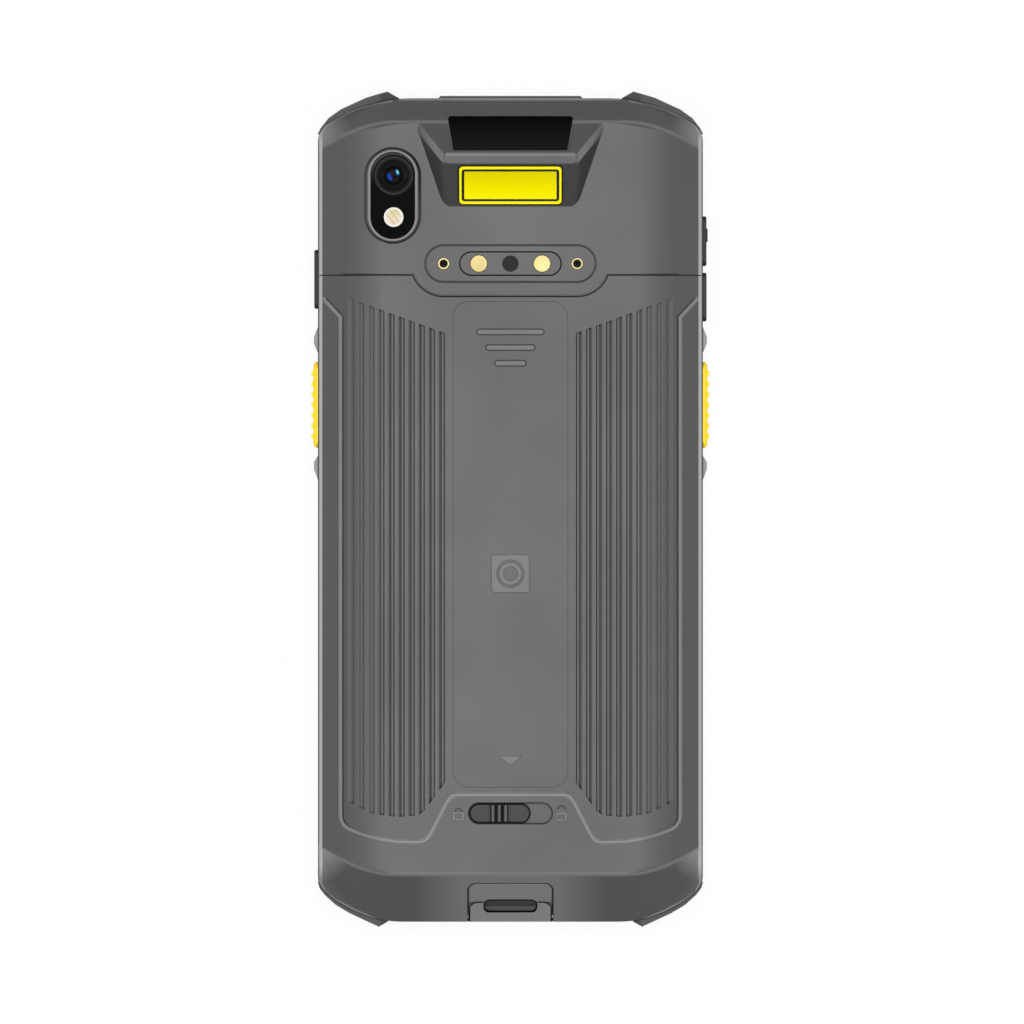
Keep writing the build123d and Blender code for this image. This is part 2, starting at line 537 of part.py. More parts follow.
def flap_notch():
    """Room that the flap and its knuckle take out of the frame."""
    notch = block(-FLAP_HALF_X - SLIP, FLAP_HALF_X + SLIP, -LOW_END_Y - 1,
                  -LOW_END_Y + FLAP_THICK + SLIP, FLAP_AXIS_Z, FRAME_TOP_Z + 1)
    notch += block(-FLAP_HALF_X - SLIP, FLAP_HALF_X + SLIP, -LOW_END_Y - 1, FLAP_AXIS_Y,
                   FLAP_AXIS_Z - KNUCKLE_R - SLIP, FLAP_AXIS_Z + 1)
    barrel = Pos(0, FLAP_AXIS_Y, FLAP_AXIS_Z) * Rot(0, 90, 0) * Cylinder(
        KNUCKLE_R + SLIP, 2 * (FLAP_HALF_X + SLIP))
    return notch + barrel


def front_frame():
    """Front housing: raised rim round the glass, side walls and the ledge under the glass."""
    body = outline_prism(0, FRAME_TOP_Z)
    front_edge = body.faces().sort_by(Axis.Z)[0].edges()
    body = chamfer(front_edge, FRONT_ROUND * 0.6, FRONT_ROUND)
    body -= slab(-GLASS_HALF_X - SLIP, GLASS_HALF_X + SLIP, GLASS_LOW_Y - SLIP,
                 GLASS_TOP_Y + SLIP, -1, LEDGE_Z, GLASS_RADIUS + SLIP)
    body -= slab(-DISPLAY_HALF_X - SLIP, DISPLAY_HALF_X + SLIP, DISPLAY_LOW_Y - SLIP,
                 DISPLAY_TOP_Y + SLIP, 0, CHASSIS_Z + 1, 1.0)
    body -= outline_prism(CHASSIS_Z, FRAME_TOP_Z + 1, FRAME_WALL)
    for x, radius in ((FRONT_CAMERA_X, FRONT_CAMERA_R), (LED_X, LED_R)):
        body -= disc(x, SPEAKER_SLOT_Y, radius + SLIP, 0, CHASSIS_Z + 1)
    body -= slab(-EARPIECE_HALF_X - 0.5, EARPIECE_HALF_X + 0.5, SPEAKER_SLOT_Y - EARPIECE_HALF_Y - 0.2,
                 SPEAKER_SLOT_Y + EARPIECE_HALF_Y + 0.2, 0, CHASSIS_Z + 1, 1.0)
    for side, low_y, top_y, _ in (FUNCTION_KEY, POWER_KEY, VOLUME_KEY):
        body -= key_window(side, low_y, top_y, KEY_HALF_HEIGHT, KEY_Z)
    for side in (-1, 1):
        body -= side_bar(side, HALF_WIDTH - BEZEL_DEPTH, HALF_WIDTH + 1, BEZEL_LOW_Y, BEZEL_TOP_Y,
                         BEZEL_HALF_HEIGHT, KEY_Z, 2.0)
        body -= key_window(side, TRIGGER_LOW_Y, TRIGGER_TOP_Y, TRIGGER_HALF_HEIGHT, KEY_Z)
    body -= flap_notch()
    body -= usb_room(SLIP)
    body -= flap_pin_solid(0.05)
    return body - trim_bar_solid(0.0)


def trim_bar_solid(proud):
    """Trim bar let into the top end; proud 0 gives the pocket for it."""
    low_y = TOP_END_Y - TRIM_DEPTH
    if proud:
        points = [(-TRIM_HALF_X, low_y), (TRIM_HALF_X, low_y), (TRIM_HALF_X, TOP_END_Y),
                  (TRIM_HALF_X - 0.5, TOP_END_Y + proud), (-TRIM_HALF_X + 0.5, TOP_END_Y + proud),
                  (-TRIM_HALF_X, TOP_END_Y)]
    else:
        points = [(-TRIM_HALF_X, low_y), (TRIM_HALF_X, low_y), (TRIM_HALF_X, TOP_END_Y + 1),
                  (-TRIM_HALF_X, TOP_END_Y + 1)]
    return prism(points, 2.0, FRAME_TOP_Z - 0.8)


def touch_glass():
    glass = slab(-GLASS_HALF_X, GLASS_HALF_X, GLASS_LOW_Y, GLASS_TOP_Y, GLASS_Z, GLASS_BACK_Z,
                 GLASS_RADIUS)
    return glass - pill(0, SPEAKER_SLOT_Y, SPEAKER_SLOT_HALF, SPEAKER_SLOT_R, 0, LEDGE_Z)


def glass_seal():
    """Adhesive gasket between the glass and the ledge."""
    seal = slab(-GLASS_HALF_X, GLASS_HALF_X, GLASS_LOW_Y, GLASS_TOP_Y, GLASS_BACK_Z, LEDGE_Z,
                GLASS_RADIUS)
    return seal - slab(-GLASS_HALF_X + SEAL_WIDTH, GLASS_HALF_X - SEAL_WIDTH,
                       GLASS_LOW_Y + SEAL_WIDTH, GLASS_TOP_Y - SEAL_WIDTH, 0, CHASSIS_Z,
                       GLASS_RADIUS - SEAL_WIDTH)


def display_panel():
    return slab(-DISPLAY_HALF_X, DISPLAY_HALF_X, DISPLAY_LOW_Y, DISPLAY_TOP_Y, GLASS_BACK_Z,
                CHASSIS_Z, 1.0)


def earpiece_mesh():
    return pill(0, SPEAKER_SLOT_Y, SPEAKER_SLOT_HALF - 0.05, SPEAKER_SLOT_R - 0.05, GLASS_Z + 0.1,
                GLASS_BACK_Z)


def earpiece():
    return slab(-EARPIECE_HALF_X, EARPIECE_HALF_X, SPEAKER_SLOT_Y - EARPIECE_HALF_Y,
                SPEAKER_SLOT_Y + EARPIECE_HALF_Y, GLASS_BACK_Z, CHASSIS_Z, 1.0)


def front_camera():
    return disc(FRONT_CAMERA_X, SPEAKER_SLOT_Y, FRONT_CAMERA_R, GLASS_BACK_Z, CHASSIS_Z)


def status_led():
    return disc(LED_X, SPEAKER_SLOT_Y, LED_R, GLASS_BACK_Z, CHASSIS_Z)


# ---------------------------------------------------------------- inside
POST_X, BAY_SCREW_X = HALF_WIDTH - 7.5, HALF_WIDTH - 6.9
POSTS = [(x, y) for x in (-POST_X, POST_X) for y in (SEAM_Y + 4.33, TOP_END_Y - 9.1)]
BAY_SCREWS = [(x, y) for x in (-BAY_SCREW_X, BAY_SCREW_X)
              for y in (-LOW_END_Y + 34.4, SEAM_Y - 41.67, SEAM_Y - 15.67)]
BOARD_FEET = [(side * (HALF_WIDTH - inward), y) for side in (-1, 1) for inward, y in
              ((19.5, TOP_END_Y - 5.6), (19.5, SEAM_Y + 3.83), (13.5, -LOW_END_Y + 12.4))]
POST_R = 2.0
CHASSIS_TOP_Z = CHASSIS_Z + CHASSIS_THICK
BAY_FLOOR_Z = CHASSIS_TOP_Z + 0.25
BAY_OUTER_X = BATTERY_HALF_X + BAY_SLACK + BAY_WALL
FLANGE_LOW_Z = FRAME_TOP_Z - BAY_FLANGE


def chassis_plate():
    """Metal mid plate with the stand-offs for the boards and the bay."""
    plate = outline_prism(CHASSIS_Z, CHASSIS_TOP_Z, FRAME_WALL + SLIP)
    plate -= flap_notch()
    for x, y in POSTS:
        plate -= disc(x, y, SCREW_R + 0.05, 0, BOARD_Z)
        plate -= disc(x, y, SCREW_HEAD_R + SLIP, 0, CHASSIS_Z + SCREW_HEAD_THICK)
    for x, y in BAY_SCREWS:
        plate += disc(x, y, 1.4, CHASSIS_TOP_Z, FLANGE_LOW_Z) - disc(x, y, SCREW_R, 0, FRAME_TOP_Z)
    for x, y in BOARD_FEET:
        plate += disc(x, y, 1.5, CHASSIS_TOP_Z, BOARD_Z)
    for room in key_rooms():
        plate -= room
    return plate


def main_board():
    board = block(-BOARD_HALF_X, BOARD_HALF_X, BOARD_LOW_Y, BOARD_TOP_Y, BOARD_Z, BOARD_Z + BOARD_THICK)
    board = board & outline_prism(0, FRAME_TOP_Z, FRAME_WALL + 0.5)
    for x, y in POSTS:
        board -= disc(x, y, POST_R + SLIP, BOARD_Z - 1, BOARD_Z + 2)
    return board


def shield_cans():
    top = BOARD_Z + BOARD_THICK
    low_y = BOARD_LOW_Y + 1.9
    return [block(x0, x1, low_y, low_y + length, top, top + 1.6)
            for x0, x1, length in ((-BOARD_HALF_X + 4.9, -13.0, 9.5), (-11.5, 8.0, 11.5),
                                   (10.0, BOARD_HALF_X - 5.4, 7.5))]


def sim_card_holder():
    top = BOARD_Z + BOARD_THICK
    return block(BOARD_HALF_X - 18.9, BOARD_HALF_X - 4.4, BOARD_LOW_Y + 10.9, BOARD_LOW_Y + 20.9, top,
                 top + 1.4)


def vibration_motor():
    top = BOARD_Z + BOARD_THICK
    return disc(BOARD_HALF_X - 8.9, BOARD_TOP_Y - 4.4, 3.6, top, top + 2.6)


def sub_board():
    board = block(-SUB_BOARD_HALF_X, SUB_BOARD_HALF_X, SUB_BOARD_LOW_Y, SUB_BOARD_TOP_Y, BOARD_Z,
                  BOARD_Z + BOARD_THICK)
    return board & outline_prism(0, FRAME_TOP_Z, FRAME_WALL + 0.5)


USB_Z = BOARD_Z + BOARD_THICK
USB_FRONT_Y = -LOW_END_Y + FLAP_THICK + 1.1


def usb_room(grow):
    """Space of the charging socket, for the pieces that it passes through."""
    return block(-USB_WIDTH / 2 - grow, USB_WIDTH / 2 + grow,
                 -LOW_END_Y + FLAP_THICK - 0.3, USB_FRONT_Y + USB_LENGTH + grow, USB_Z - grow,
                 USB_Z + USB_HEIGHT + grow)


def usb_c_receptacle():
    """Socket shell with its inner tongue."""
    middle_z = USB_Z + USB_HEIGHT / 2
    plane = Plane((0, USB_FRONT_Y, middle_z), x_dir=(1, 0, 0), z_dir=(0, 1, 0))
    shell = extrude(plane * RectangleRounded(USB_WIDTH, USB_HEIGHT, USB_HEIGHT / 2 - 0.03), USB_LENGTH)
    shell -= extrude(plane * RectangleRounded(USB_WIDTH - 0.6, USB_HEIGHT - 0.6, 1.25), USB_LENGTH - 0.9)
    tongue = block(-3.3, 3.3, USB_FRONT_Y + 0.5, USB_FRONT_Y + USB_LENGTH - 0.5, middle_z - 0.35,
                   middle_z + 0.35)
    return shell + tongue


def loudspeaker():
    return slab(-SUB_BOARD_HALF_X + 4.0, -PORT_HALF_X - 3.6, SUB_BOARD_LOW_Y + 0.8, SUB_BOARD_TOP_Y - 1.0,
                USB_Z, USB_Z + 3.0, 1.5)


def board_flex():
    """Flat cable under the battery bay, with a connector block at each end."""
    strip = block(-6.0, 6.0, SUB_BOARD_TOP_Y - 3, BOARD_LOW_Y + 3, CHASSIS_TOP_Z, CHASSIS_TOP_Z + 0.15)
    ends = [block(-6.0, 6.0, y, y + 3, CHASSIS_TOP_Z, BOARD_Z)
            for y in (SUB_BOARD_TOP_Y - 3, BOARD_LOW_Y)]
    return strip + ends[0] + ends[1]


def battery_bay():
    """Inner moulding: battery tray, and the flange that the cover closes on."""
    flange = outline_prism(FLANGE_LOW_Z, FRAME_TOP_Z, FRAME_WALL + SLIP)
    flange &= block(-HALF_WIDTH, HALF_WIDTH, SUB_BOARD_TOP_Y + 0.5, SEAM_Y - 1.2, 0, FRAME_TOP_Z)
    low_y, top_y = BATTERY_LOW_Y - BAY_SLACK, BATTERY_TOP_Y + BAY_SLACK
    half_x = BATTERY_HALF_X + BAY_SLACK
    tray = slab(-BAY_OUTER_X, BAY_OUTER_X, low_y - BAY_WALL, top_y + BAY_WALL, BAY_FLOOR_Z,
                BAY_WALL_TOP_Z, 2.0)
    body = flange + tray
    body -= slab(-half_x, half_x, low_y, top_y, BAY_FLOOR_Z + BAY_FLOOR, BAY_WALL_TOP_Z + 1, 1.0)
    for side in (-1, 1):
        body -= on_side(side, SIDE_BOARD_X - SLIP, HALF_WIDTH, TRIGGER_LOW_Y - 1, SEAM_Y, 0,
                        FLANGE_LOW_Z)
    for x, y in BAY_SCREWS:
        body -= disc(x, y, SCREW_R + 0.05, 0, FRAME_TOP_Z + 1)
    for room in key_rooms():
        body -= room
    return body - contacts_block(SLIP, BAY_WALL_TOP_Z + 1)


def contacts_block(grow, top_z):
    return block(-6.0 - grow, 6.0 + grow, BATTERY_TOP_Y - 0.2 - grow, BATTERY_TOP_Y + 4.6 + grow,
                 BAY_FLOOR_Z + BAY_FLOOR, top_z)


def battery_pack():
    z = BAY_FLOOR_Z + BAY_FLOOR
    pack = slab(-BATTERY_HALF_X, BATTERY_HALF_X, BATTERY_LOW_Y, BATTERY_TOP_Y, z, z + BATTERY_THICK, 1.2)
    pack = fillet(pack.faces().sort_by(Axis.Z)[-1].edges(), 0.8)
    return pack - block(-6.4, 6.4, BATTERY_TOP_Y - 0.5, BATTERY_TOP_Y + 1, z - 1, z + 3.2)


def battery_contacts():
    """Contact block on the bay, touching the pads in the pack's notch."""
    return contacts_block(0, BAY_FLOOR_Z + BAY_FLOOR + 3.0)


def battery_seal():
    """Rubber ring on the flange, under the cover."""
    low_y, top_y = SUB_BOARD_TOP_Y + 1.2, SEAM_Y - 2.2
    half_x = HALF_WIDTH - 4.1
    outer = slab(-half_x, half_x, low_y, top_y, FRAME_TOP_Z, FRAME_TOP_Z + 0.6, 4.0)
    return outer - slab(-half_x + 1, half_x - 1, low_y + 1, top_y - 1, 0, BACK_Z, 3.0)


def housing_screws():
    """Screws up into the rear housing's posts, and down through the bay's flange."""
    screws = []
    for x, y in POSTS:
        head = disc(x, y, SCREW_HEAD_R, CHASSIS_Z, CHASSIS_Z + SCREW_HEAD_THICK)
        screws.append(head + disc(x, y, SCREW_R, CHASSIS_Z, CHASSIS_TOP_Z + 5.0))
    for x, y in BAY_SCREWS:
        head = disc(x, y, SCREW_HEAD_R, FRAME_TOP_Z, FRAME_TOP_Z + SCREW_HEAD_THICK)
        screws.append(head + disc(x, y, SCREW_R, CHASSIS_TOP_Z + 0.3, FRAME_TOP_Z + 0.1))
    return screws


# ---------------------------------------------------------------- rear housing
def insert_places():
    return [-INSERT_SPACING / 2, INSERT_SPACING / 2]


FLOOR_Z = BACK_Z - CAPSULE_DEPTH


def window_shape(grow):
    """Outline of the scan window on the scan face, grown by an amount."""
    lean = atan2(RIDGE_Z - STRIP_Z, TOP_END_Y - RIDGE_Y)
    low, high = 0.67 / cos(lean) - grow, 7.6 / cos(lean) + grow
    narrow, wide = BEVEL_RIDGE_X - 1.54 + grow, BEVEL_RIDGE_X - 0.3 + grow
    points = [(-narrow, low), (narrow, low), (wide, high), (-wide, high)]
    face = make_face(Polyline(*points, close=True))
    return fillet(face.vertices(), 0.7 + max(grow, -0.4))


WINDOW_DEPTH, WINDOW_THICK, GASKET_THICK = 0.5, 0.8, 0.2


def recess_solid():
    """Shallow bevelled recess round the scan window, widest at the end."""
    lean = atan2(RIDGE_Z - STRIP_Z, TOP_END_Y - RIDGE_Y)
    plane = scan_plane()
    floor = plane.offset(-WINDOW_DEPTH) * window_shape(0.25)
    low, high = 0.45 / cos(lean), 9.0 / cos(lean)
    narrow, wide = BEVEL_RIDGE_X - 0.9, BEVEL_RIDGE_X + 1.8
    mouth_points = [(-narrow, low), (narrow, low), (wide, high), (-wide, high)]
    mouth = make_face(Polyline(*mouth_points, close=True))
    mouth = plane.offset(0.1) * fillet(mouth.vertices(), 0.9)
    return Solid.make_loft([floor.faces()[0].outer_wire(), mouth.faces()[0].outer_wire()], ruled=True)


def on_scan(face, depth, thickness):
    """Prism on the scan face that starts at a depth and runs inward."""
    plane = scan_plane()
    return extrude(plane.offset(-depth) * face, amount=-thickness)


def seam_lip():
    """Ledge under the cover's edge that closes the seam from below, open at the hinge tabs."""
    foot = Pos(0, 0, -LIP_THICK) * rear_form(WALL + 0.12)
    root = (rear_form(WALL - 0.1) - foot) & (seam_region(0) - seam_region(-1.5))
    reach = (rear_form(WALL + 0.12) - foot) & (seam_region(LIP_REACH) - seam_region(-0.1))
    lip = root + reach
    for side in (-1, 1):
        lip -= on_side(side, HINGE_TAB_X - HINGE_TAB_HALF - 0.3, HINGE_TAB_X + HINGE_TAB_HALF + 0.3,
                       SEAM_Y - 5, SEAM_Y, FRAME_TOP_Z, BACK_Z)
    return lip - block(-HALF_WIDTH, HALF_WIDTH, 0, TOP_END_Y, 0, FRAME_TOP_Z + 0.2)


def rear_housing():
    """Upper rear housing with the scanner hump, its posts and insert bosses."""
    shell = OUTER_FORM + OUTER_HUMP - INNER_FORM
    shell &= seam_region(0)
    shell -= block(-HALF_WIDTH - 1, HALF_WIDTH + 1, 0, TOP_END_Y + 2, 0, FRAME_TOP_Z)
    posts = None
    for x, y in POSTS:
        post = disc(x, y, POST_R, CHASSIS_TOP_Z, BACK_Z)
        posts = post if posts is None else posts + post
    for x in insert_places():
        posts += disc(x, CAPSULE_Y, INSERT_R + 1.0, FLOOR_Z - INSERT_LENGTH, FLAT_INNER_Z + 0.3)
    posts += block(-CAPSULE_HALF + 1.4, CAPSULE_HALF - 1.4, CAPSULE_Y - CAPSULE_RADIUS - 0.12,
                   CAPSULE_Y + CAPSULE_RADIUS + 0.12, FLOOR_Z - 1.9, FLAT_INNER_Z + 0.3)
    posts &= rear_form(WALL - 0.3) + outline_prism(0, FRAME_TOP_Z, WALL)
    shell += posts + seam_lip()
    shell -= recess_solid()
    shell -= on_scan(window_shape(0.06), 0, WINDOW_DEPTH + WINDOW_THICK + GASKET_THICK)
    shell -= on_scan(window_shape(-0.8), 0, 5)
    shell -= capsule_pocket()
    shell -= pill(0, CAPSULE_Y, CARRIER_HALF + 0.05, CARRIER_RADIUS + 0.05, FLOOR_Z - 4, BACK_Z)
    for x in insert_places():
        shell -= disc(x, CAPSULE_Y, INSERT_R, FLOOR_Z - INSERT_LENGTH - 1, BACK_Z)
    for x, y in POSTS:
        shell -= disc(x, y, SCREW_R, 0, CHASSIS_TOP_Z + 5.2)
    shell -= tall_pill(CAMERA_X, CAMERA_Y, CAMERA_BEZEL_W + 0.1, CAMERA_BEZEL_H + 0.1, FRAME_TOP_Z,
                       CUT_TOP_Z)
    label = label_plane() * RectangleRounded(LABEL_W + 0.1, LABEL_H + 0.1, 1.05)
    shell -= extrude(label, amount=-LABEL_POCKET)
    ledge_x = HALF_WIDTH - TOP_REACH + 2.7
    return shell - block(-ledge_x, ledge_x, TOP_END_Y - END_LEDGE, TOP_END_Y + 1, FRAME_TOP_Z, CUT_TOP_Z)


def capsule_pocket():
    """Recess of the contact capsule, with a bevelled rim."""
    pocket = pill(0, CAPSULE_Y, CAPSULE_HALF - 0.35, CAPSULE_RADIUS - 0.35, FLOOR_Z, BACK_Z + 1)
    rim = pill(0, CAPSULE_Y, CAPSULE_HALF, CAPSULE_RADIUS, BACK_Z - 0.35, BACK_Z + 1)
    low = chamfer(rim.faces().sort_by(Axis.Z)[0].edges(), 0.34)
    return pocket + low


def scan_window():
    return on_scan(window_shape(0), WINDOW_DEPTH, WINDOW_THICK)


def scan_window_gasket():
    ring_face = window_shape(0) - window_shape(-0.8)
    return on_scan(ring_face, WINDOW_DEPTH + WINDOW_THICK, GASKET_THICK)


ENGINE_GAP, ENGINE_HALF_X, ENGINE_HALF_Y, ENGINE_DEPTH = 2.9, BEVEL_RIDGE_X - 2.5, 4.3, 6.6
LENS_PLACES = [(along * ENGINE_HALF_X, radius * ENGINE_HALF_X)
               for along, radius in ((-0.54, 0.22), (0.06, 0.15), (0.58, 0.22))]


def engine_plane():
    """Front face of the scan engine, square behind the window."""
    lean = atan2(RIDGE_Z - STRIP_Z, TOP_END_Y - RIDGE_Y)
    return scan_plane().offset(-ENGINE_GAP) * Pos(0, 4.3 / cos(lean), 0)


def scan_engine():
    """Engine block with its mounting foot down to the board."""
    place = engine_plane()
    body = place * Pos(0, 0, -ENGINE_DEPTH / 2) * Box(2 * ENGINE_HALF_X, 2 * ENGINE_HALF_Y, ENGINE_DEPTH)
    foot = block(-ENGINE_HALF_X + 1, ENGINE_HALF_X - 1, RIDGE_Y - 6.3, RIDGE_Y - 1.8,
                 BOARD_Z + BOARD_THICK, BACK_Z - 4.0)
    for x, radius in LENS_PLACES:
        body -= place * Pos(x, 0, 0) * Cylinder(radius + 0.05, 1.0)
    return body + foot


def scan_lenses():
    """Camera lens in the middle and aimer and lamp lenses beside it."""
    place = engine_plane()
    return [place * Pos(x, 0, 0.0) * Cylinder(radius, 1.0) for x, radius in LENS_PLACES]


LABEL_W, LABEL_H, LABEL_POCKET, LABEL_THICK = 2 * HUMP_RIDGE_X - 6.1, 9.5, 0.1, 0.2


def label_plate():
    plane = label_plane().offset(-LABEL_POCKET)
    return extrude(plane * RectangleRounded(LABEL_W, LABEL_H, 1.0), LABEL_THICK)


# ---------------------------------------------------------------- camera
GLASS_TOP_Z = CAMERA_BEZEL_Z - 0.15
WINDOW_LOW_Z = GLASS_TOP_Z - CAMERA_GLASS_THICK


def camera_bezel():
    """Raised ring round the camera glass."""
    body = tall_pill(CAMERA_X, CAMERA_Y, CAMERA_BEZEL_W, CAMERA_BEZEL_H, FLAT_INNER_Z, CAMERA_BEZEL_Z)
    body = chamfer(body.faces().sort_by(Axis.Z)[-1].edges(), 0.55)
    body -= tall_pill(CAMERA_X, CAMERA_Y, CAMERA_GLASS_W + 0.1, CAMERA_GLASS_H + 0.1, WINDOW_LOW_Z,
                      CUT_TOP_Z)
    return body - tall_pill(CAMERA_X, CAMERA_Y, CAMERA_GLASS_W - 0.8, CAMERA_GLASS_H - 0.8, 0, BACK_Z)


def camera_window():
    """Black glass with holes for the lens ring and the flash."""
    glass = tall_pill(CAMERA_X, CAMERA_Y, CAMERA_GLASS_W, CAMERA_GLASS_H, WINDOW_LOW_Z, GLASS_TOP_Z)
    glass -= disc(LENS_X, LENS_Y, LENS_RING_R + 0.03, 0, CUT_TOP_Z)
    return glass - disc(LENS_X, FLASH_Y, FLASH_R + 0.03, 0, CUT_TOP_Z)


def camera_lens_ring():
    """Ring with a conical throat down to the lens."""
    body = disc(LENS_X, LENS_Y, LENS_RING_R, WINDOW_LOW_Z, GLASS_TOP_Z + 0.1)
    throat_z = WINDOW_LOW_Z + 0.35
    depth = GLASS_TOP_Z + 0.1 - throat_z
    cone = Pos(LENS_X, LENS_Y, throat_z + depth / 2) * Cone(LENS_R + 0.2, LENS_CONE_R, depth)
    return body - cone - disc(LENS_X, LENS_Y, LENS_R + 0.2, 0, CUT_TOP_Z)


def camera_lens():
    """Domed lens at the bottom of the throat."""
    body = disc(LENS_X, LENS_Y, LENS_R + 0.15, WINDOW_LOW_Z, WINDOW_LOW_Z + 0.5)
    return fillet(body.faces().sort_by(Axis.Z)[-1].edges(), 0.4)


def camera_module():
    shoulder_z = WINDOW_LOW_Z - 2.75
    body = block(CAMERA_X - 4.2, CAMERA_X + 4.2, LENS_Y - 4.2, LENS_Y + 4.2, BOARD_Z + BOARD_THICK,
                 shoulder_z)
    return body + disc(LENS_X, LENS_Y, 3.4, shoulder_z, WINDOW_LOW_Z)


def flash_diffuser():
    body = disc(LENS_X, FLASH_Y, FLASH_R, WINDOW_LOW_Z - 0.8, GLASS_TOP_Z + 0.05)
    return fillet(body.faces().sort_by(Axis.Z)[-1].edges(), 0.12)


# ---------------------------------------------------------------- contact capsule
def contact_carrier():
    carrier = pill(0, CAPSULE_Y, CARRIER_HALF, CARRIER_RADIUS, FLOOR_Z - 2.6, FLOOR_Z + CARRIER_PROUD)
    for x in (-CONTACT_X, CONTACT_X):
        carrier -= disc(x, CAPSULE_Y, CONTACT_R, FLOOR_Z - 3, BACK_Z)
    return carrier - disc(0, CAPSULE_Y, PLUG_R, FLOOR_Z - 0.8, BACK_Z)


def charging_contacts():
    pads = []
    for x in (-CONTACT_X, CONTACT_X):
        pad = disc(x, CAPSULE_Y, CONTACT_R, FLOOR_Z - 2.9, FLOOR_Z + CARRIER_PROUD + 0.15)
        pads.append(fillet(pad.faces().sort_by(Axis.Z)[-1].edges(), 0.14))
    return pads


def carrier_plug():
    plug = disc(0, CAPSULE_Y, PLUG_R, FLOOR_Z - 0.8, FLOOR_Z + CARRIER_PROUD + 0.05)
    return fillet(plug.faces().sort_by(Axis.Z)[-1].edges(), 0.2)


def threaded_inserts():
    return [disc(x, CAPSULE_Y, INSERT_R, FLOOR_Z - INSERT_LENGTH, FLOOR_Z)
            - disc(x, CAPSULE_Y, INSERT_HOLE_R, FLOOR_Z - INSERT_LENGTH - 1, FLOOR_Z + 1)
            for x in insert_places()]


# ---------------------------------------------------------------- bumpers
def toothed(points):
    """Polyline with small even teeth on its long run and a plain last stroke."""
    result = [points[0]]
    for (x0, y0), (x1, y1) in zip(points[:-2], points[1:-1]):
        length = hypot(x1 - x0, y1 - y0)
        count = max(round(length / TOOTH_STEP), 1)
        normal = ((y1 - y0) / length, -(x1 - x0) / length)
        if normal[0] * x0 + normal[1] * y0 < 0:
            normal = (-normal[0], -normal[1])
        for index in range(count):
            a, b = (index + 0.5) / count, (index + 1) / count
            result.append((x0 + (x1 - x0) * a + normal[0] * TOOTH_RISE,
                           y0 + (y1 - y0) * a + normal[1] * TOOTH_RISE))
            result.append((x0 + (x1 - x0) * b, y0 + (y1 - y0) * b))
    result.append(points[-1])
    return result


def corner_bumper(steps, end_y, sign):
    """Left-hand bumper outside the frame's corner; sign is that of the end's Y."""
    points = [(-HALF_WIDTH + inward, sign * (end_y + outward)) for inward, outward in steps]
    end = points[-1]
    inside = [(end[0], end[1] * 0.9), (points[0][0] + 6, points[0][1] * 0.9),
              (points[0][0] + 0.5, points[0][1])]
    body = prism(toothed(points) + inside, BUMPER_LOW_Z, BUMPER_TOP_Z)
    return body - outline_prism(-1, RIDGE_Z)


# ---------------------------------------------------------------- battery cover
def groove_field():
    """Plan area that the grooves fill on the left."""
    first, last = GROOVE_FIRST_X - 1, GROOVE_FIRST_X + GROOVE_PITCH * GROOVE_COUNT
    foot = [(1.0, 24.2), (0.711, 21.2), (0.47, 20.5), (0.277, 20.8), (0.209, 21.8), (0.0, 27.8)]
    points = [(-first, SEAM_Y - 11.57), (-last, SEAM_Y - 4.07)]
    points += [(-first - (last - first) * across, -LOW_END_Y + rise) for across, rise in foot]
    return prism(points, 0, CUT_TOP_Z)


def back_height(x):
    """Height of the flat back and its shoulder at a distance from the middle."""
    over = max(x - FLAT_HALF, 0)
    return BACK_Z - SHOULDER_RADIUS + (SHOULDER_RADIUS**2 - over**2) ** 0.5


def grooves():
    """Cutters for the ribbed panel on the left: a long outer wall, a floor and a steep inner wall."""
    cutters = None
    for index in range(GROOVE_COUNT):
        outer = GROOVE_FIRST_X + index * GROOVE_PITCH + GROOVE_WIDTH / 2
        inner = outer - GROOVE_WIDTH
        floor = [(x, back_height(x) - GROOVE_DEPTH)
                 for x in (outer - GROOVE_OUTER_RUN, inner + GROOVE_INNER_RUN)]
        points = [(outer, BACK_Z + 1), (outer, back_height(outer)), *floor, (inner, back_height(inner)),
                  (inner, BACK_Z + 1)]
        cutter = section_prism([(-x, z) for x, z in points], -LOW_END_Y + 18.4, SEAM_Y - 2.67)
        cutters = cutter if cutters is None else cutters + cutter
    return cutters & groove_field()


def bead_face():
    """Plan of the raised line on the left: down beside the ribs, round and in over the latch."""
    side_x, foot_y, shelf_y = -HALF_WIDTH + 4.45, -LOW_END_Y + 15.6, -LOW_END_Y + 24.8
    reach, drop, corner = 0.36 * HALF_WIDTH, 5.2, 3.0
    points = quarter(-side_x, -foot_y, reach, drop, corner)
    side, small, join, large, end = [flip(p, -1, -1) for p in points]
    start, bend = (-HALF_WIDTH + 1.2, SEAM_Y - 4.77), (side_x, SEAM_Y - 8.27)
    foot, top = (end[0] + 3.15, foot_y), (-PANEL_HALF_X - 0.45, shelf_y)
    centre_line = [Edge.make_line((*start, 0), (*bend, 0)), Edge.make_line((*bend, 0), (*side, 0)),
                   arc(small, side, join, 0), arc(large, join, end, 0)]
    run = FilletPolyline((*end, 0), (*foot, 0), (*top, 0), (0, shelf_y, 0), radius=1.8)
    return trace(centre_line + list(run.edges()), line_width=BEAD_WIDTH)


def lock_icon(x, y, lift):
    """Small raised padlock outline; lift opens its shackle."""
    face = Pos(x, y) * (Rectangle(2.1, 1.5) - Rectangle(1.6, 1.0))
    bow = Circle(0.85) - Circle(0.58)
    bow &= Pos(0, 0.6) * Rectangle(2.4, 1.2)
    return face + Pos(x, y + 0.72 + lift) * bow


BARS = [(PANEL_TOP_Y - 5.9, 6.45), (PANEL_TOP_Y - 8.95, 4.68), (PANEL_TOP_Y - 12.0, 2.95)]
BAR_RADIUS, MOAT = 0.45, 0.18


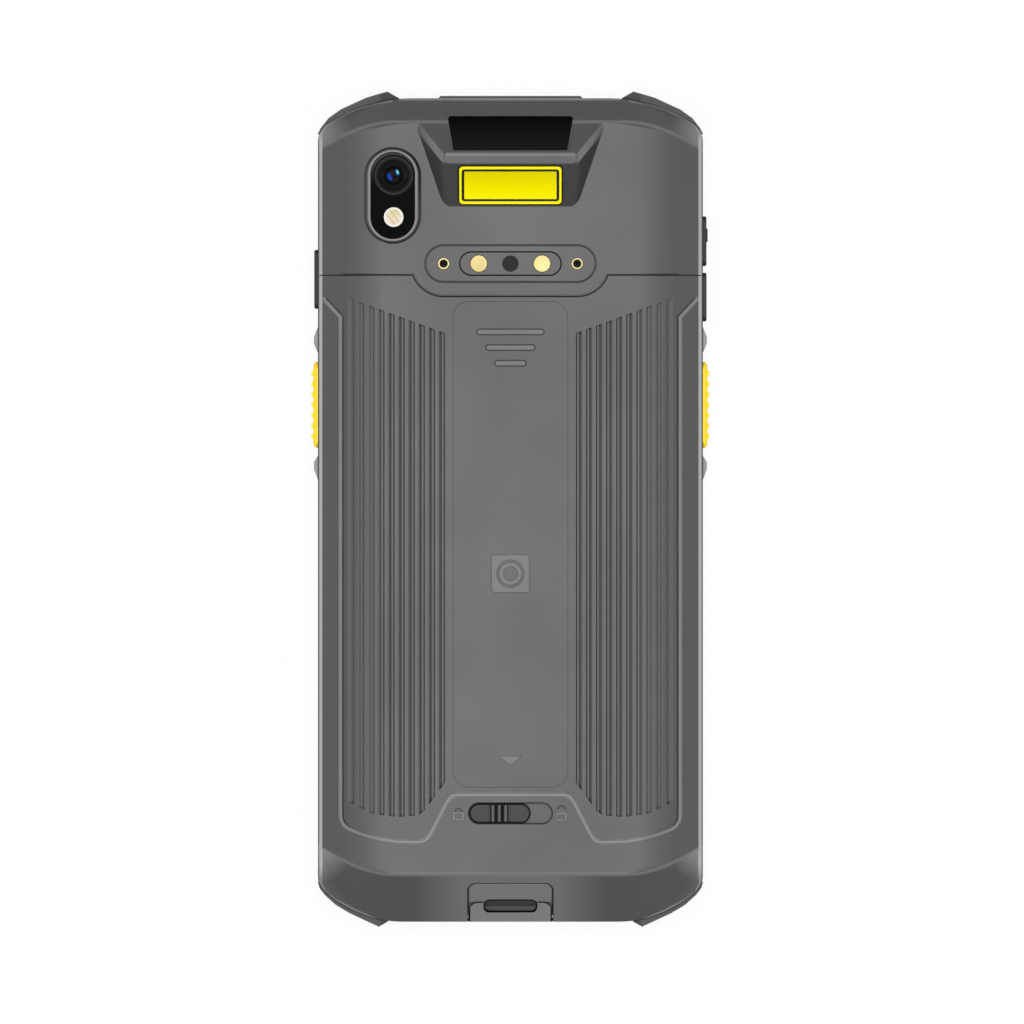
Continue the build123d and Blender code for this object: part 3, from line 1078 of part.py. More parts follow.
def cover_raised():
    """Everything that stands proud of the cover, as prisms paired with their heights."""
    top = CUT_TOP_Z
    half = MARK_SIZE / 2
    bead = extrude(bead_face(), top)
    panel = slab(-PANEL_HALF_X, PANEL_HALF_X, PANEL_LOW_Y, PANEL_TOP_Y, 0, top, 3.0)
    bars = [pill(0, y, bar_half, BAR_RADIUS, 0, top) for y, bar_half in BARS]
    mark = slab(-half, half, MARK_Y - half, MARK_Y + half, 0, top, 0.6)
    arrow_y = SLOT_Y + 11.15
    arrow = prism([(-2.15, arrow_y), (2.15, arrow_y), (0, arrow_y - 1.9)], 0, top)
    closed = extrude(lock_icon(-SLOT_HALF_X - 2.0, SLOT_Y - 0.55, 0), top)
    locks = closed + extrude(lock_icon(SLOT_HALF_X + 1.75, SLOT_Y - 0.7, 0.75), top)
    shapes = [(bead, BEAD_PROUD), (mirrored(bead), BEAD_PROUD), (panel, PANEL_PROUD)]
    shapes += [(bar, PANEL_PROUD + 0.1) for bar in bars]
    shapes += [(mark, PANEL_PROUD + 0.15), (arrow, PANEL_PROUD + 0.15), (locks, 0.14)]
    return shapes


def cover_marks():
    """Rings sunk in the square mark and moats round the bars."""
    top = BACK_Z + PANEL_PROUD
    half = MARK_SIZE / 2
    rings = disc(0, MARK_Y, half - 0.93, top, CUT_TOP_Z) - disc(0, MARK_Y, half - 1.43, top, CUT_TOP_Z)
    rings += disc(0, MARK_Y, half - 2.23, top, CUT_TOP_Z)
    for y, bar_half in BARS:
        moat = pill(0, y, bar_half + MOAT, BAR_RADIUS + MOAT, top - 0.2, CUT_TOP_Z)
        rings += moat - pill(0, y, bar_half, BAR_RADIUS, 0, CUT_TOP_Z)
    return rings


def battery_cover():
    """Whole lower rear shell, hooked under the rear housing at the seam."""
    shell = OUTER_FORM - rear_form(WALL)
    shell -= seam_region(SEAM_GAP)
    shell -= block(-HALF_WIDTH - 1, HALF_WIDTH + 1, -LOW_END_Y - 2, SEAM_Y, 0, FRAME_TOP_Z)
    skirt = block(-HALF_WIDTH - 1, HALF_WIDTH + 1, -LOW_END_Y - 1, TOP_END_Y, 0, STRIP_Z - 0.15)
    heights = {}
    for shape, proud in cover_raised():
        heights.setdefault(proud, []).append(shape)
    for proud, shapes in heights.items():
        level = rear_form(-proud) - rear_form(0.2)
        for shape in shapes:
            shell += (shape & level) - seam_region(SEAM_GAP) - skirt
    shell -= cover_marks()
    cut = grooves()
    shell = shell - cut - mirrored(cut)
    pad = slab(-11.0, 11.0, SLOT_Y - 3.2, SLOT_Y + 3.2, PAD_Z, FLAT_INNER_Z + 0.2, 1.0)
    shell += pad
    shell -= pill(0, SLOT_Y, SLOT_HALF_X, SLOT_HALF_Y, SLOT_FLOOR_Z, CUT_TOP_Z)
    stem_low = SLIDER_X - STEM_HALF_X - SLIP
    shell -= block(stem_low, SLIDER_X + STEM_HALF_X + LATCH_TRAVEL + SLIP, SLOT_Y - STEM_HALF_Y - SLIP,
                   SLOT_Y + STEM_HALF_Y + SLIP, FRAME_TOP_Z, CUT_TOP_Z)
    shell -= slab(-PORT_HALF_X, PORT_HALF_X, -LOW_END_Y - 6, PORT_TOP_Y, 0, CUT_TOP_Z, PORT_RADIUS)
    for side in (-1, 1):
        shell += hinge_tab(side)
    return shell


def hinge_tab(side):
    """Hook that reaches under the rear housing's edge."""
    low, high = HINGE_TAB_X - HINGE_TAB_HALF, HINGE_TAB_X + HINGE_TAB_HALF
    low_z, top_z = FLAT_INNER_Z - 2.0, FLAT_INNER_Z - 0.8
    neck = on_side(side, low, high, SEAM_Y - 3.2, SEAM_Y - SEAM_GAP - 0.05, low_z, FLAT_INNER_Z + 0.1)
    tongue = on_side(side, low, high, SEAM_Y - 3.2, SEAM_Y + 1.7, low_z, top_z)
    return neck + tongue


# ---------------------------------------------------------------- latch
SLOT_FLOOR_Z = BACK_Z - SLOT_DEPTH
PAD_Z = SLOT_FLOOR_Z - 1.3
SLIDER_X = -SLOT_HALF_X + SLIP + SLIDER_LENGTH / 2
STEM_HALF_X, STEM_HALF_Y = 1.5, 0.8
BOLT_TOP_Z, BOLT_LOW_Z = PAD_Z - 0.15, PAD_Z - 1.25


def latch_slider():
    """Thumb slide with grip grooves, and the stem that goes through the cover."""
    body = pill(SLIDER_X, SLOT_Y, SLIDER_LENGTH / 2, SLOT_HALF_Y - 0.12, SLOT_FLOOR_Z + 0.08, BACK_Z - 0.05)
    for index in range(4):
        x = -4.0 + index * 1.25
        body -= block(x - 0.32, x + 0.32, SLOT_Y - 3, SLOT_Y + 3, BACK_Z - 0.55, CUT_TOP_Z)
    stem = block(SLIDER_X - STEM_HALF_X, SLIDER_X + STEM_HALF_X, SLOT_Y - STEM_HALF_Y,
                 SLOT_Y + STEM_HALF_Y, BOLT_TOP_Z, SLOT_FLOOR_Z + 0.1)
    return body + stem


def latch_bolt():
    """Flat bolt under the cover, carried by the slider's stem."""
    return block(-BOLT_REACH, 6.0, SLOT_Y - 1.8, SLOT_Y + 1.8, BOLT_LOW_Z, BOLT_TOP_Z)


def latch_keeper():
    """Catch on the battery bay whose lip holds the bolt down."""
    post_x = -BOLT_REACH - 1.8
    post = block(post_x - 1.3, post_x, SLOT_Y - 1.8, SLOT_Y + 1.8, FRAME_TOP_Z, PAD_Z + 0.5)
    lip = block(post_x, -BOLT_REACH - KEEPER_GAP, SLOT_Y - 1.8, SLOT_Y + 1.8, BOLT_TOP_Z + 0.1, PAD_Z + 0.5)
    return post + lip


def nfc_antenna():
    return slab(-17.0, 17.0, -24.0, 8.0, FLAT_INNER_Z - 0.3, FLAT_INNER_Z, 2.0)


# ---------------------------------------------------------------- charging port
def nail_slot():
    return slab(-NAIL_HALF_X, NAIL_HALF_X, NAIL_Y - NAIL_HALF_Y, NAIL_Y + NAIL_HALF_Y, 0, CUT_TOP_Z, 1.1)


def usb_surround():
    """Scooped recess behind the flap, with the way through for the socket."""
    gap = FLAP_THICK + SLIP
    half = PORT_HALF_X - SLIP
    scoop = rear_form(0.35) & slab(-half, half, FLAP_TOP_Y + SLIP - 4, PORT_TOP_Y - SLIP, 0, CUT_TOP_Z,
                                   PORT_RADIUS)
    scoop -= block(-HALF_WIDTH, HALF_WIDTH, -LOW_END_Y - 2, FLAP_TOP_Y + SLIP, 0, CUT_TOP_Z)
    lower = rear_form(gap) & block(-half, half, -LOW_END_Y, PORT_TOP_Y - 1.2, 0, CUT_TOP_Z)
    body = scoop + lower
    body -= nail_slot() - rear_form(gap + 0.3)
    body -= block(-HALF_WIDTH, HALF_WIDTH, -LOW_END_Y - 2, -LOW_END_Y + FRAME_WALL + SLIP, 0,
                  FRAME_TOP_Z + SLIP)
    body -= block(-HALF_WIDTH, HALF_WIDTH, -LOW_END_Y - 2, 0, 0, USB_Z)
    return body - usb_room(SLIP)


def flap_pin_solid(grow):
    axis = Pos(0, FLAP_AXIS_Y, FLAP_AXIS_Z) * Rot(0, 90, 0)
    return axis * Cylinder(HINGE_PIN_R + grow, 2 * (FLAP_HALF_X + 1.6 + grow))


def usb_flap():
    """Flap over the port: end face, sloping top, hinge knuckle and nail slot."""
    outer = (OUTER_FORM + outline_prism(0, FRAME_TOP_Z)) - envelope(FLAP_THICK)
    plan = slab(-FLAP_HALF_X, FLAP_HALF_X, -LOW_END_Y - 5, FLAP_TOP_Y, FLAP_AXIS_Z, CUT_TOP_Z,
                FLAP_RADIUS)
    flap = outer & plan
    knuckle = Pos(0, FLAP_AXIS_Y, FLAP_AXIS_Z) * Rot(0, 90, 0) * Cylinder(KNUCKLE_R, 2 * FLAP_HALF_X)
    flap += knuckle
    flap -= nail_slot() & block(-HALF_WIDTH, HALF_WIDTH, -LOW_END_Y - 5, 0, FRAME_TOP_Z, CUT_TOP_Z)
    return flap - flap_pin_solid(0.05)


# ---------------------------------------------------------------- assembly
def assembly():
    """Every piece by name; a list holds the separate solids of one group."""
    left_top = corner_bumper(BUMPER_TOP, TOP_END_Y, 1)
    left_low = corner_bumper(BUMPER_LOW, LOW_END_Y, -1)
    return {
        "front_frame": front_frame(), "touch_glass": touch_glass(), "glass_seal": glass_seal(),
        "display_panel": display_panel(), "earpiece_mesh": earpiece_mesh(), "earpiece": earpiece(),
        "front_camera": front_camera(), "status_led": status_led(), "chassis_plate": chassis_plate(),
        "main_board": main_board(), "shield_cans": shield_cans(), "sim_card_holder": sim_card_holder(),
        "vibration_motor": vibration_motor(), "sub_board": sub_board(),
        "usb_c_receptacle": usb_c_receptacle(), "loudspeaker": loudspeaker(),
        "board_flex": board_flex(), "battery_bay": battery_bay(), "battery_pack": battery_pack(),
        "battery_contacts": battery_contacts(), "battery_seal": battery_seal(),
        "housing_screws": housing_screws(), "rear_housing": rear_housing(),
        "scan_window": scan_window(), "scan_window_gasket": scan_window_gasket(),
        "scan_engine": scan_engine(), "scan_lenses": scan_lenses(), "label_plate": label_plate(),
        "camera_bezel": camera_bezel(), "camera_window": camera_window(),
        "camera_lens_ring": camera_lens_ring(), "camera_lens": camera_lens(),
        "camera_module": camera_module(), "flash_diffuser": flash_diffuser(),
        "contact_carrier": contact_carrier(), "charging_contacts": charging_contacts(),
        "carrier_plug": carrier_plug(), "threaded_inserts": threaded_inserts(),
        "corner_bumper_top_left": left_top, "corner_bumper_top_right": mirrored(left_top),
        "corner_bumper_bottom_left": left_low, "corner_bumper_bottom_right": mirrored(left_low),
        "top_trim_bar": trim_bar_solid(TRIM_PROUD), "trigger_bezel_left": trigger_bezel(-1),
        "trigger_bezel_right": trigger_bezel(1), "side_key_boards": side_key_boards(),
        "key_switches": key_switches(), "battery_cover": battery_cover(),
        "nfc_antenna": nfc_antenna(), "latch_slider": latch_slider(), "latch_bolt": latch_bolt(),
        "latch_keeper": latch_keeper(), "scan_trigger_left": scan_trigger(-1),
        "scan_trigger_right": scan_trigger(1), "function_key": side_key(*FUNCTION_KEY),
        "power_key": power_key(), "volume_key": volume_key(), "usb_surround": usb_surround(),
        "usb_flap": usb_flap(), "usb_flap_pin": flap_pin_solid(0.0),
    }


def write_parts():
    for name, shape in assembly().items():
        solids = shape if isinstance(shape, list) else [shape]
        found = [solid for item in solids for solid in item.solids()]
        export_step(Compound(children=found), f"parts/{name}.step")


write_parts()
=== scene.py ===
"""Finishes, small detail pieces and studio for a rugged handheld barcode terminal."""

import math

import bpy
from bpy.props import FloatProperty, FloatVectorProperty, IntProperty, PointerProperty
from bpy.types import Operator, Panel, PropertyGroup
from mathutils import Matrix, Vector


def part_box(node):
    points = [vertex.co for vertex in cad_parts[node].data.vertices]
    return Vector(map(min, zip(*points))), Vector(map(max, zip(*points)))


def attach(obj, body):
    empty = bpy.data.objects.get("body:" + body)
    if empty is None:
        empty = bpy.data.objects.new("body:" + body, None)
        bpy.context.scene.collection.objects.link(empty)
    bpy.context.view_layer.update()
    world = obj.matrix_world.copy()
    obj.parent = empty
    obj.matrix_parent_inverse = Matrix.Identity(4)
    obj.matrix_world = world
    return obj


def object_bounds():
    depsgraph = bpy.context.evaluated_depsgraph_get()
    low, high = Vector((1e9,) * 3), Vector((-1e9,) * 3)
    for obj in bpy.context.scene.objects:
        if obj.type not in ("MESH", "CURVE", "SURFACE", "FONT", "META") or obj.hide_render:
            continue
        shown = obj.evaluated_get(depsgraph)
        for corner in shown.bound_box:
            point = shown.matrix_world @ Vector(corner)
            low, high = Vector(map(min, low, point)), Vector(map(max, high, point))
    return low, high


bl_info = {
    "name": "Handheld Terminal Finishes",
    "version": (1, 0, 0),
    "blender": (4, 5, 0),
    "location": "View3D > Sidebar > Terminal",
    "description": "Materials, detail pieces and studio for a handheld barcode terminal",
    "category": "Object",
}

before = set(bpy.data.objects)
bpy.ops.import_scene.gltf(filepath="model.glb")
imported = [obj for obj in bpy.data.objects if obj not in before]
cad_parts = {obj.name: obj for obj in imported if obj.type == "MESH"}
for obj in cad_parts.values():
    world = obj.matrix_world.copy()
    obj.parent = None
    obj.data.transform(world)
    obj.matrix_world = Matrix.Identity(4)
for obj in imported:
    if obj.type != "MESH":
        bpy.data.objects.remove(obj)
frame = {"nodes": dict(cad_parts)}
CAD_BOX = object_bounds()
MM = 0.001


def mm(*values):
    return tuple(value * MM for value in values)


# Places on the terminal. A pill is its X, Y, half width and half depth in metres.
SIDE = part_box("rear_housing")[1][0] / MM
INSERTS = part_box("threaded_inserts")
CAPSULE_Y = (INSERTS[0][1] + INSERTS[1][1]) / 2
CAPSULE_END, CAPSULE_RADIUS = mm(13.0, 6.15)
SEAM_Y = CAPSULE_Y - 2.13 * MM
SEAM_POCKET = (0.0, CAPSULE_Y, CAPSULE_END + CAPSULE_RADIUS, CAPSULE_RADIUS)
INSERT_RADIUS, CONTACT_RADIUS = mm(1.1, 1.64)
NAIL_SLOT = mm(0.0, -77.25, 5.3, 1.27)
LATCH_SLOT = mm(0.0, -59.2, 8.15, 2.02)
# Y of a crease at the middle, and of the middle of its corners, for the top end and the foot.
TOP_CREASE, FOOT_CREASE = mm(75.4, 72.8), mm(71.1, 66.0)
LABEL_LEAN = math.atan2(6.4, 8.3)
# Slant of the painted glints on the camera lens.
GLINT_LEAN = math.radians(-22)


def tint(red, green, blue):
    """Linear colour of a display colour from 0 to 255."""
    linear = []
    for level in (red, green, blue):
        share = level / 255
        linear.append(share / 12.92 if share <= 0.04045 else ((share + 0.055) / 1.055) ** 2.4)
    return (*linear, 1.0)


def grey(level):
    return tint(level, level, level)


def scaled(shade, factor):
    return (*[min(1.0, channel * factor) for channel in shade[:3]], 1.0)


def middle(node):
    """Centre of a CAD node's box."""
    low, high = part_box(node)
    return (Vector(low) + Vector(high)) / 2


def top_of(node):
    """Top of a CAD node's box in millimetres."""
    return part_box(node)[1][2] / MM


def pill(node):
    """Pill that fills a CAD node's box in plan."""
    low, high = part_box(node)
    return tuple((high[i] + low[i]) / 2 for i in (0, 1)) + tuple((high[i] - low[i]) / 2 for i in (0, 1))


# ---- settings
def colour(name, description, value):
    return FloatVectorProperty(name=name, description=description, subtype="COLOR", size=4,
                               min=0.0, max=1.0, default=value)


def length(name, description, value):
    return FloatProperty(name=name, description=description, subtype="DISTANCE", unit="LENGTH",
                         min=0.0, default=value * MM)


class TerminalFinish(PropertyGroup):
    """Colours and surface sizes of the terminal."""
    shell: colour("Shell", "Rear housing and battery cover", tint(74, 74, 75))
    shell_rough: FloatProperty(name="Shell roughness", description="Gloss of the shells, 0 is polished",
                               min=0.0, max=1.0, subtype="FACTOR", default=0.45)
    # The edge strip colour is a painted highlight on the side chamfers.
    edge_strip_highlight: colour("Edge strip", "Pale chamfer down both long sides", tint(176, 177, 178))
    # Relief is also the colour that most painted highlights and shade are made from.
    relief: colour("Relief", "Raised marks, port flap and paler parts", tint(96, 96, 97))
    frame: colour("Frame", "Front housing round the sides", tint(70, 70, 71))
    bumper: colour("Bumper", "Rubber on the four corners", tint(78, 78, 79))
    guard: colour("Guard", "Frames round the triggers", tint(144, 145, 147))
    trigger: colour("Trigger", "Scan triggers", tint(255, 216, 32))
    label: colour("Label", "Plain sticker on the scanner hump", tint(252, 239, 2))
    # Ink is also the colour of the painted shadow round the sticker's edge.
    ink: colour("Ink", "Printed lines on the sticker", tint(9, 9, 13))
    flash: colour("Flash", "Flash diffuser", tint(240, 228, 205))
    black: colour("Black", "Keys and small black mouldings", tint(28, 28, 29))
    gold: colour("Gold", "Plated charging contacts", tint(214, 198, 140))
    # The coating colour also tints the painted glints on the camera lens.
    coating: colour("Coating", "Blue of the coated lens", tint(20, 46, 120))
    grain: length("Grain", "Size of the moulded grain", 0.22)


class TerminalDetail(PropertyGroup):
    """Sizes of the detail pieces."""
    border_width: length("Border width", "Line printed round the sticker", 0.54)
    border_inset: length("Border inset", "From the sticker's edge to the line", 0.85)
    ring_count: IntProperty(name="Flash rings", description="Rings moulded in the flash",
                            min=1, max=12, default=5)
    mesh_pitch: length("Mesh pitch", "From hole to hole in the earpiece grille", 0.42)


class TerminalStudio(PropertyGroup):
    """Camera, lamps and floor."""
    lens: FloatProperty(name="Lens", description="Focal length in millimetres", default=1000.0)
    view_width: length("View width", "Width that the camera sees at the object", 199.6)
    key: FloatProperty(name="Key", description="Each of the two overhead lamps, watts", default=21.0)
    rim: FloatProperty(name="Rim", description="Side lamps, watts", default=4.0)
    fill: FloatProperty(name="Fill", description="Even light from all round", default=0.1)
    floor: colour("Floor", "Floor and backdrop", (0.96, 0.96, 0.96, 1.0))


# ---- node graphs
def chained(operation):
    """Method that joins its values one after the other with an operation."""
    def method(self, first, *others):
        for other in others:
            first = self.math(operation, first, other)
        return first
    return method


class Graph:
    """Adds linked nodes to one tree. Values are numbers, colours or other nodes' outputs."""

    def __init__(self, tree):
        self.tree = tree

    def node(self, kind, inputs=(), **settings):
        made = self.tree.nodes.new("ShaderNode" + kind)
        for key, value in settings.items():
            setattr(made, key, value)
        for key, value in dict(inputs).items():
            self.feed(made.inputs[key], value)
        return made

    def feed(self, socket, value):
        if isinstance(value, bpy.types.NodeSocket):
            self.tree.links.new(value, socket)
        else:
            socket.default_value = value

    def group(self, name, *values):
        """Outputs of a shared group; the values go to its first inputs in order."""
        made = self.node("Group", node_tree=shared_group(name))
        for socket, value in zip(made.inputs, values):
            self.feed(socket, value)
        return made.outputs

    def math(self, operation, a, b=0.0, clamp=False):
        return self.node("Math", {0: a, 1: b}, operation=operation, use_clamp=clamp).outputs[0]

    times, plus, minus = chained("MULTIPLY"), chained("ADD"), chained("SUBTRACT")
    least, most = chained("MINIMUM"), chained("MAXIMUM")

    def size(self, value):
        return self.math("ABSOLUTE", value)

    def reach(self, a, b):
        """Length of the slanting side over two square sides."""
        return self.math("SQRT", self.plus(self.times(a, a), self.times(b, b)))

    def vector(self, operation, a, b=(0, 0, 0)):
        made = self.node("VectorMath", {0: a, 1: b}, operation=operation).outputs
        return made["Value" if operation in ("DOT_PRODUCT", "DISTANCE", "LENGTH") else "Vector"]

    def blend(self, share, a, b):
        """Colour between a and b."""
        return self.node("Mix", {0: share, 6: a, 7: b}, data_type="RGBA").outputs[2]

    def over(self, under, shade, *shares):
        """The colour under, with shade laid over it by the product of the shares."""
        return self.blend(self.times(*shares), under, shade)

    def range(self, value, low, high, new_low=0.0, new_high=1.0):
        return self.node("MapRange", {"Value": value, "From Min": low, "From Max": high,
                                      "To Min": new_low, "To Max": new_high}).outputs["Result"]

    def fade(self, value, start, end, *new):
        """Goes from 0 to 1 between two places given in millimetres."""
        return self.range(value, start * MM, end * MM, *new)

    def place(self):
        return self.node("TexCoord").outputs["Object"]

    def parts(self):
        """X, Y and Z."""
        return self.node("SeparateXYZ", {0: self.place()}).outputs

    def axes(self):
        """Distance from the middle plane, then Y and Z."""
        x, y, z = self.parts()
        return self.size(x), y, z

    def noise(self, place, scale, detail, **more):
        return self.node("TexNoise", {"Vector": place, "Scale": scale, "Detail": detail,
                                      **more}).outputs[0]

    def cells(self, scale, **settings):
        return self.node("TexVoronoi", {"Vector": self.place(), "Scale": scale},
                         **settings).outputs["Distance"]

    def bump(self, strength, depth, height, **more):
        """Normal of a relief, its depth in millimetres."""
        return self.node("Bump", {"Strength": strength, "Distance": depth * MM, "Height": height,
                                  **more}).outputs[0]

    def finish(self, inputs):
        """Feeds the material's Principled surface and returns the material."""
        for key, value in inputs.items():
            self.feed(self.shader.inputs[key], value)
        return self.material


def cleared(owner):
    """Graph of the emptied tree of a new material or world."""
    owner.use_nodes = True
    owner.node_tree.nodes.clear()
    return Graph(owner.node_tree)


def new_material(name):
    """Graph of a new material that has a Principled surface."""
    material = bpy.data.materials.new(name)
    g = cleared(material)
    g.material, g.shader = material, g.node("BsdfPrincipled")
    g.node("OutputMaterial", {"Surface": g.shader.outputs[0]})
    return g


# ---- shared groups
def moulded_grain(g, scale, drift_scale):
    """Fine spark-eroded grain of a moulded surface, and the slow drift of its tone."""
    fine = g.noise(g.place(), scale, 3.0, Roughness=0.65)
    pits = g.cells(g.times(scale, 0.55))
    slow = g.noise(g.place(), drift_scale, 4.0, Roughness=0.55)
    return g.plus(g.times(fine, 0.7), g.times(pits, 0.5)), g.range(fine, 0.3, 0.7), g.range(slow, 0.3, 0.7)


def edge_wear_highlight_shade(g, wear_and_highlight, radius):
    """Softened normal, a mask of the outer edges that are lightened, partly rubbed and partly a painted
    highlight, and a mask of painted shade in gaps and inner corners.
    """
    soft = g.node("Bevel", {"Radius": radius}, samples=6).outputs[0]
    true = g.node("NewGeometry").outputs["Normal"]
    sharp = g.range(g.minus(1.0, g.vector("DOT_PRODUCT", soft, true)), 0.004, 0.06)
    # Ambient occlusion, used for the painted shade in gaps and inner corners.
    open_air = g.node("AmbientOcclusion", {"Distance": 0.7 * MM}, samples=6).outputs["AO"]
    patches = g.noise(g.place(), 900.0, 3.0)
    broken = g.times(g.range(patches, 0.25, 0.6, 0.7, 1.0), g.range(open_air, 0.8, 0.97))
    return soft, g.math("MULTIPLY", g.times(sharp, broken), wear_and_highlight, True), g.range(open_air, 0.86, 0.4)


def end_crease_highlights(g, end, side, corner):
    """Masks for painted highlights where the back turns down to an end: a light line along the crease, its
    corners and its middle.
    """
    across, y, _ = g.axes()
    along = g.times(y, side)
    over = g.most(g.minus(across, 22 * MM), 0.0)
    past = g.minus(along, g.minus(end, g.times(over, over, 24.5)))
    outside = g.fade(past, -0.1, 0.2)
    reach = g.reach(g.minus(across, 37.5 * MM), g.minus(along, corner))
    return (g.times(g.fade(g.size(past), 0.48, 0.1), g.fade(across, 36.5, 31.0, 0.25, 1.0)),
            g.times(g.fade(reach, 6.8, 0.4), outside), g.times(g.fade(across, 18.5, 9.5), outside))


def nearest_line(g, *runs):
    """Distance in plan to lines through points in millimetres, the same on both halves."""
    across, along, _ = g.axes()
    here = g.node("CombineXYZ", {0: across, 1: along}).outputs[0]
    found = []
    for start, end in [pair for points in runs for pair in zip(points, points[1:])]:
        (ax, ay), (bx, by) = mm(*start), mm(*end)
        step = (bx - ax, by - ay, 0)
        out = g.vector("SUBTRACT", here, (ax, ay, 0))
        share = g.math("DIVIDE", g.vector("DOT_PRODUCT", out, step), step[0] ** 2 + step[1] ** 2, True)
        foot = g.node("VectorMath", {0: step, "Scale": share}, operation="SCALE").outputs[0]
        found.append(g.vector("DISTANCE", out, foot))
    return (g.least(*found),)


def raised_line(g):
    """Distance to the raised line on the cover."""
    def arc(x, y, radius, start, end, count):
        turns = [math.radians(start + (end - start) * i / count) for i in range(count + 1)]
        return [(x + radius * math.cos(t), y + radius * math.sin(t)) for t in turns]

    return nearest_line(g, [(36.3, 40.9), (33.05, 37.4), *arc(30.05, -59.6, 3.0, 0.0, -66.3, 3),
                            *arc(19.55, -35.64, 29.16, -66.3, -90.0, 4), (17.6, -64.8),
                            (16.5, -64.45), (15.7, -63.46), (12.3, -56.94), (11.5, -55.95),
                            (10.4, -55.6), (0.0, -55.6)])


def shell_edge(g):
    """Distance to the shells' edge at the corners."""
    return nearest_line(g, [(37.15, 72.54), (36.06, 74.53), (34.07, 76.11), (30.09, 77.9),
                            (26.12, 78.99), (23.13, 79.5)],
                        [(37.05, -72.58), (36.06, -74.57), (34.07, -76.07), (30.09, -78.16),
                         (26.12, -79.85)])


def pill_outline(g, x, y, half_x, half_y):
    """Signed distance in plan to the outline of a pill that lies across or along the terminal."""
    radius = g.least(half_x, half_y)
    past_flat = [g.most(g.minus(g.size(g.minus(part, centre)), g.minus(half, radius)), 0.0)
                 for part, centre, half in zip(g.parts(), (x, y), (half_x, half_y))]
    return (g.minus(g.reach(*past_flat), radius),)


def hump_bevel(g, ridge, half_width):
    """Masks for painted light and shade on the scanner hump: the bevel round its window face, the steep
    faces below it, and its upper line.
    """
    across, along, high = g.axes()
    rise = g.times(g.most(g.minus(across, half_width), 0.0), 1.19)
    above = g.minus(along, g.plus(rise, ridge))
    raised, low = g.fade(high, 16.52, 16.6), g.fade(above, -2.1, -1.8)
    return (g.times(g.fade(above, 0.1, -0.1), low, raised), g.times(g.minus(1.0, low), raised),
            g.times(g.fade(g.size(g.plus(above, 0.1 * MM)), 0.4, 0.1), raised))


def hairlines(g, scale, turn):
    """Hairline scratches and smears on glass and metal."""
    turned = g.node("VectorRotate", {"Vector": g.place(), "Angle": turn}).outputs[0]
    lines = g.noise(g.vector("MULTIPLY", turned, (1.0, 34.0, 6.0)), scale, 5.0, Roughness=0.7)
    smear = g.noise(turned, 38.0, 3.0, Distortion=1.2)
    return g.range(lines, 0.56, 0.74), g.range(smear, 0.38, 0.72)


# Each group's builder, its inputs with their defaults, and its outputs.
GROUPS = {
    "moulded_grain": (moulded_grain, {"Scale": 4500.0, "Drift Scale": 45.0},
                      ("Height", "Speckle", "Drift")),
    "edge_wear_highlight_shade": (edge_wear_highlight_shade, {"Wear And Highlight": 0.5, "Radius": 0.14 * MM}, ("Normal", "Mask", "Crevice")),
    "end_crease_highlights": (end_crease_highlights, {"End": 75.4 * MM, "Side": 1.0, "Corner": 71.5 * MM},
                   ("Line", "Corner", "Middle")),
    "raised_run": (raised_line, {}, ("Distance",)),
    "shell_edge": (shell_edge, {}, ("Distance",)),
    "pill_outline": (pill_outline, {"X": 0.0, "Y": 0.0, "Half X": 8 * MM, "Half Y": 2 * MM},
                     ("Distance",)),
    "hump_bevel": (hump_bevel, {"Ridge": 69 * MM, "Half Width": 12.9 * MM}, ("Bevel", "Below", "Line")),
    "hairlines": (hairlines, {"Scale": 120.0, "Turn": 0.4}, ("Mask", "Smear")),
}


def shared_group(name):
    """A node group, built when it is first asked for."""
    if name in bpy.data.node_groups:
        return bpy.data.node_groups[name]
    build, inputs, outputs = GROUPS[name]
    tree = bpy.data.node_groups.new(name, "ShaderNodeTree")
    for title, value in inputs.items():
        socket = tree.interface.new_socket(title, in_out="INPUT", socket_type="NodeSocketFloat")
        socket.default_value = value
    for title in outputs:
        kind = "NodeSocketVector" if title == "Normal" else "NodeSocketFloat"
        tree.interface.new_socket(title, in_out="OUTPUT", socket_type=kind)
    g = Graph(tree)
    start = tree.nodes.new("NodeGroupInput").outputs
    end = tree.nodes.new("NodeGroupOutput").inputs
    for title, value in zip(outputs, build(g, *[start[title] for title in inputs])):
        g.feed(end[title], value)
    return tree


# ---- marks: each takes the colour so far and returns the next; most lay painted light or shade on it
def ends(g, painted, shade, side, end, corner, middle_share, corner_share):
    """Painted highlights at one end: a light crease line, paler corners and a paler middle."""
    crease = g.group("end_crease_highlights", end, side, corner)
    painted = g.over(painted, scaled(shade, 2.6), crease["Corner"], corner_share)
    painted = g.over(painted, scaled(shade, 1.12), crease["Middle"], middle_share)
    return g.over(painted, scaled(shade, 1.6), crease["Line"], 0.7)


def shoulder_sheen(g, painted, shade):
    """Painted sheen: a paler band where the flat back turns down to the sides."""
    across, along, _ = g.axes()
    band = g.least(g.fade(across, 32.2, 28.1), g.fade(across, 24.2, 27.2))
    between_ends = g.times(g.fade(along, 74.6, 73.6), g.fade(along, -70.4, -69.2))
    return g.over(painted, scaled(shade, 2.0), band, between_ends, 0.4)


def painted_strip_highlight(g, painted, shade):
    """Pale chamfer down both long sides, its paleness a painted highlight, inside a dark line."""
    across, along, _ = g.axes()
    inner, outer = g.fade(across, SIDE - 0.82, SIDE - 0.66), g.fade(across, SIDE - 0.1, SIDE - 0.2)
    between_ends = g.times(g.fade(along, 73.8, 71.8), g.fade(along, -73.5, -69.0))
    return g.over(painted, shade, inner, outer, between_ends)


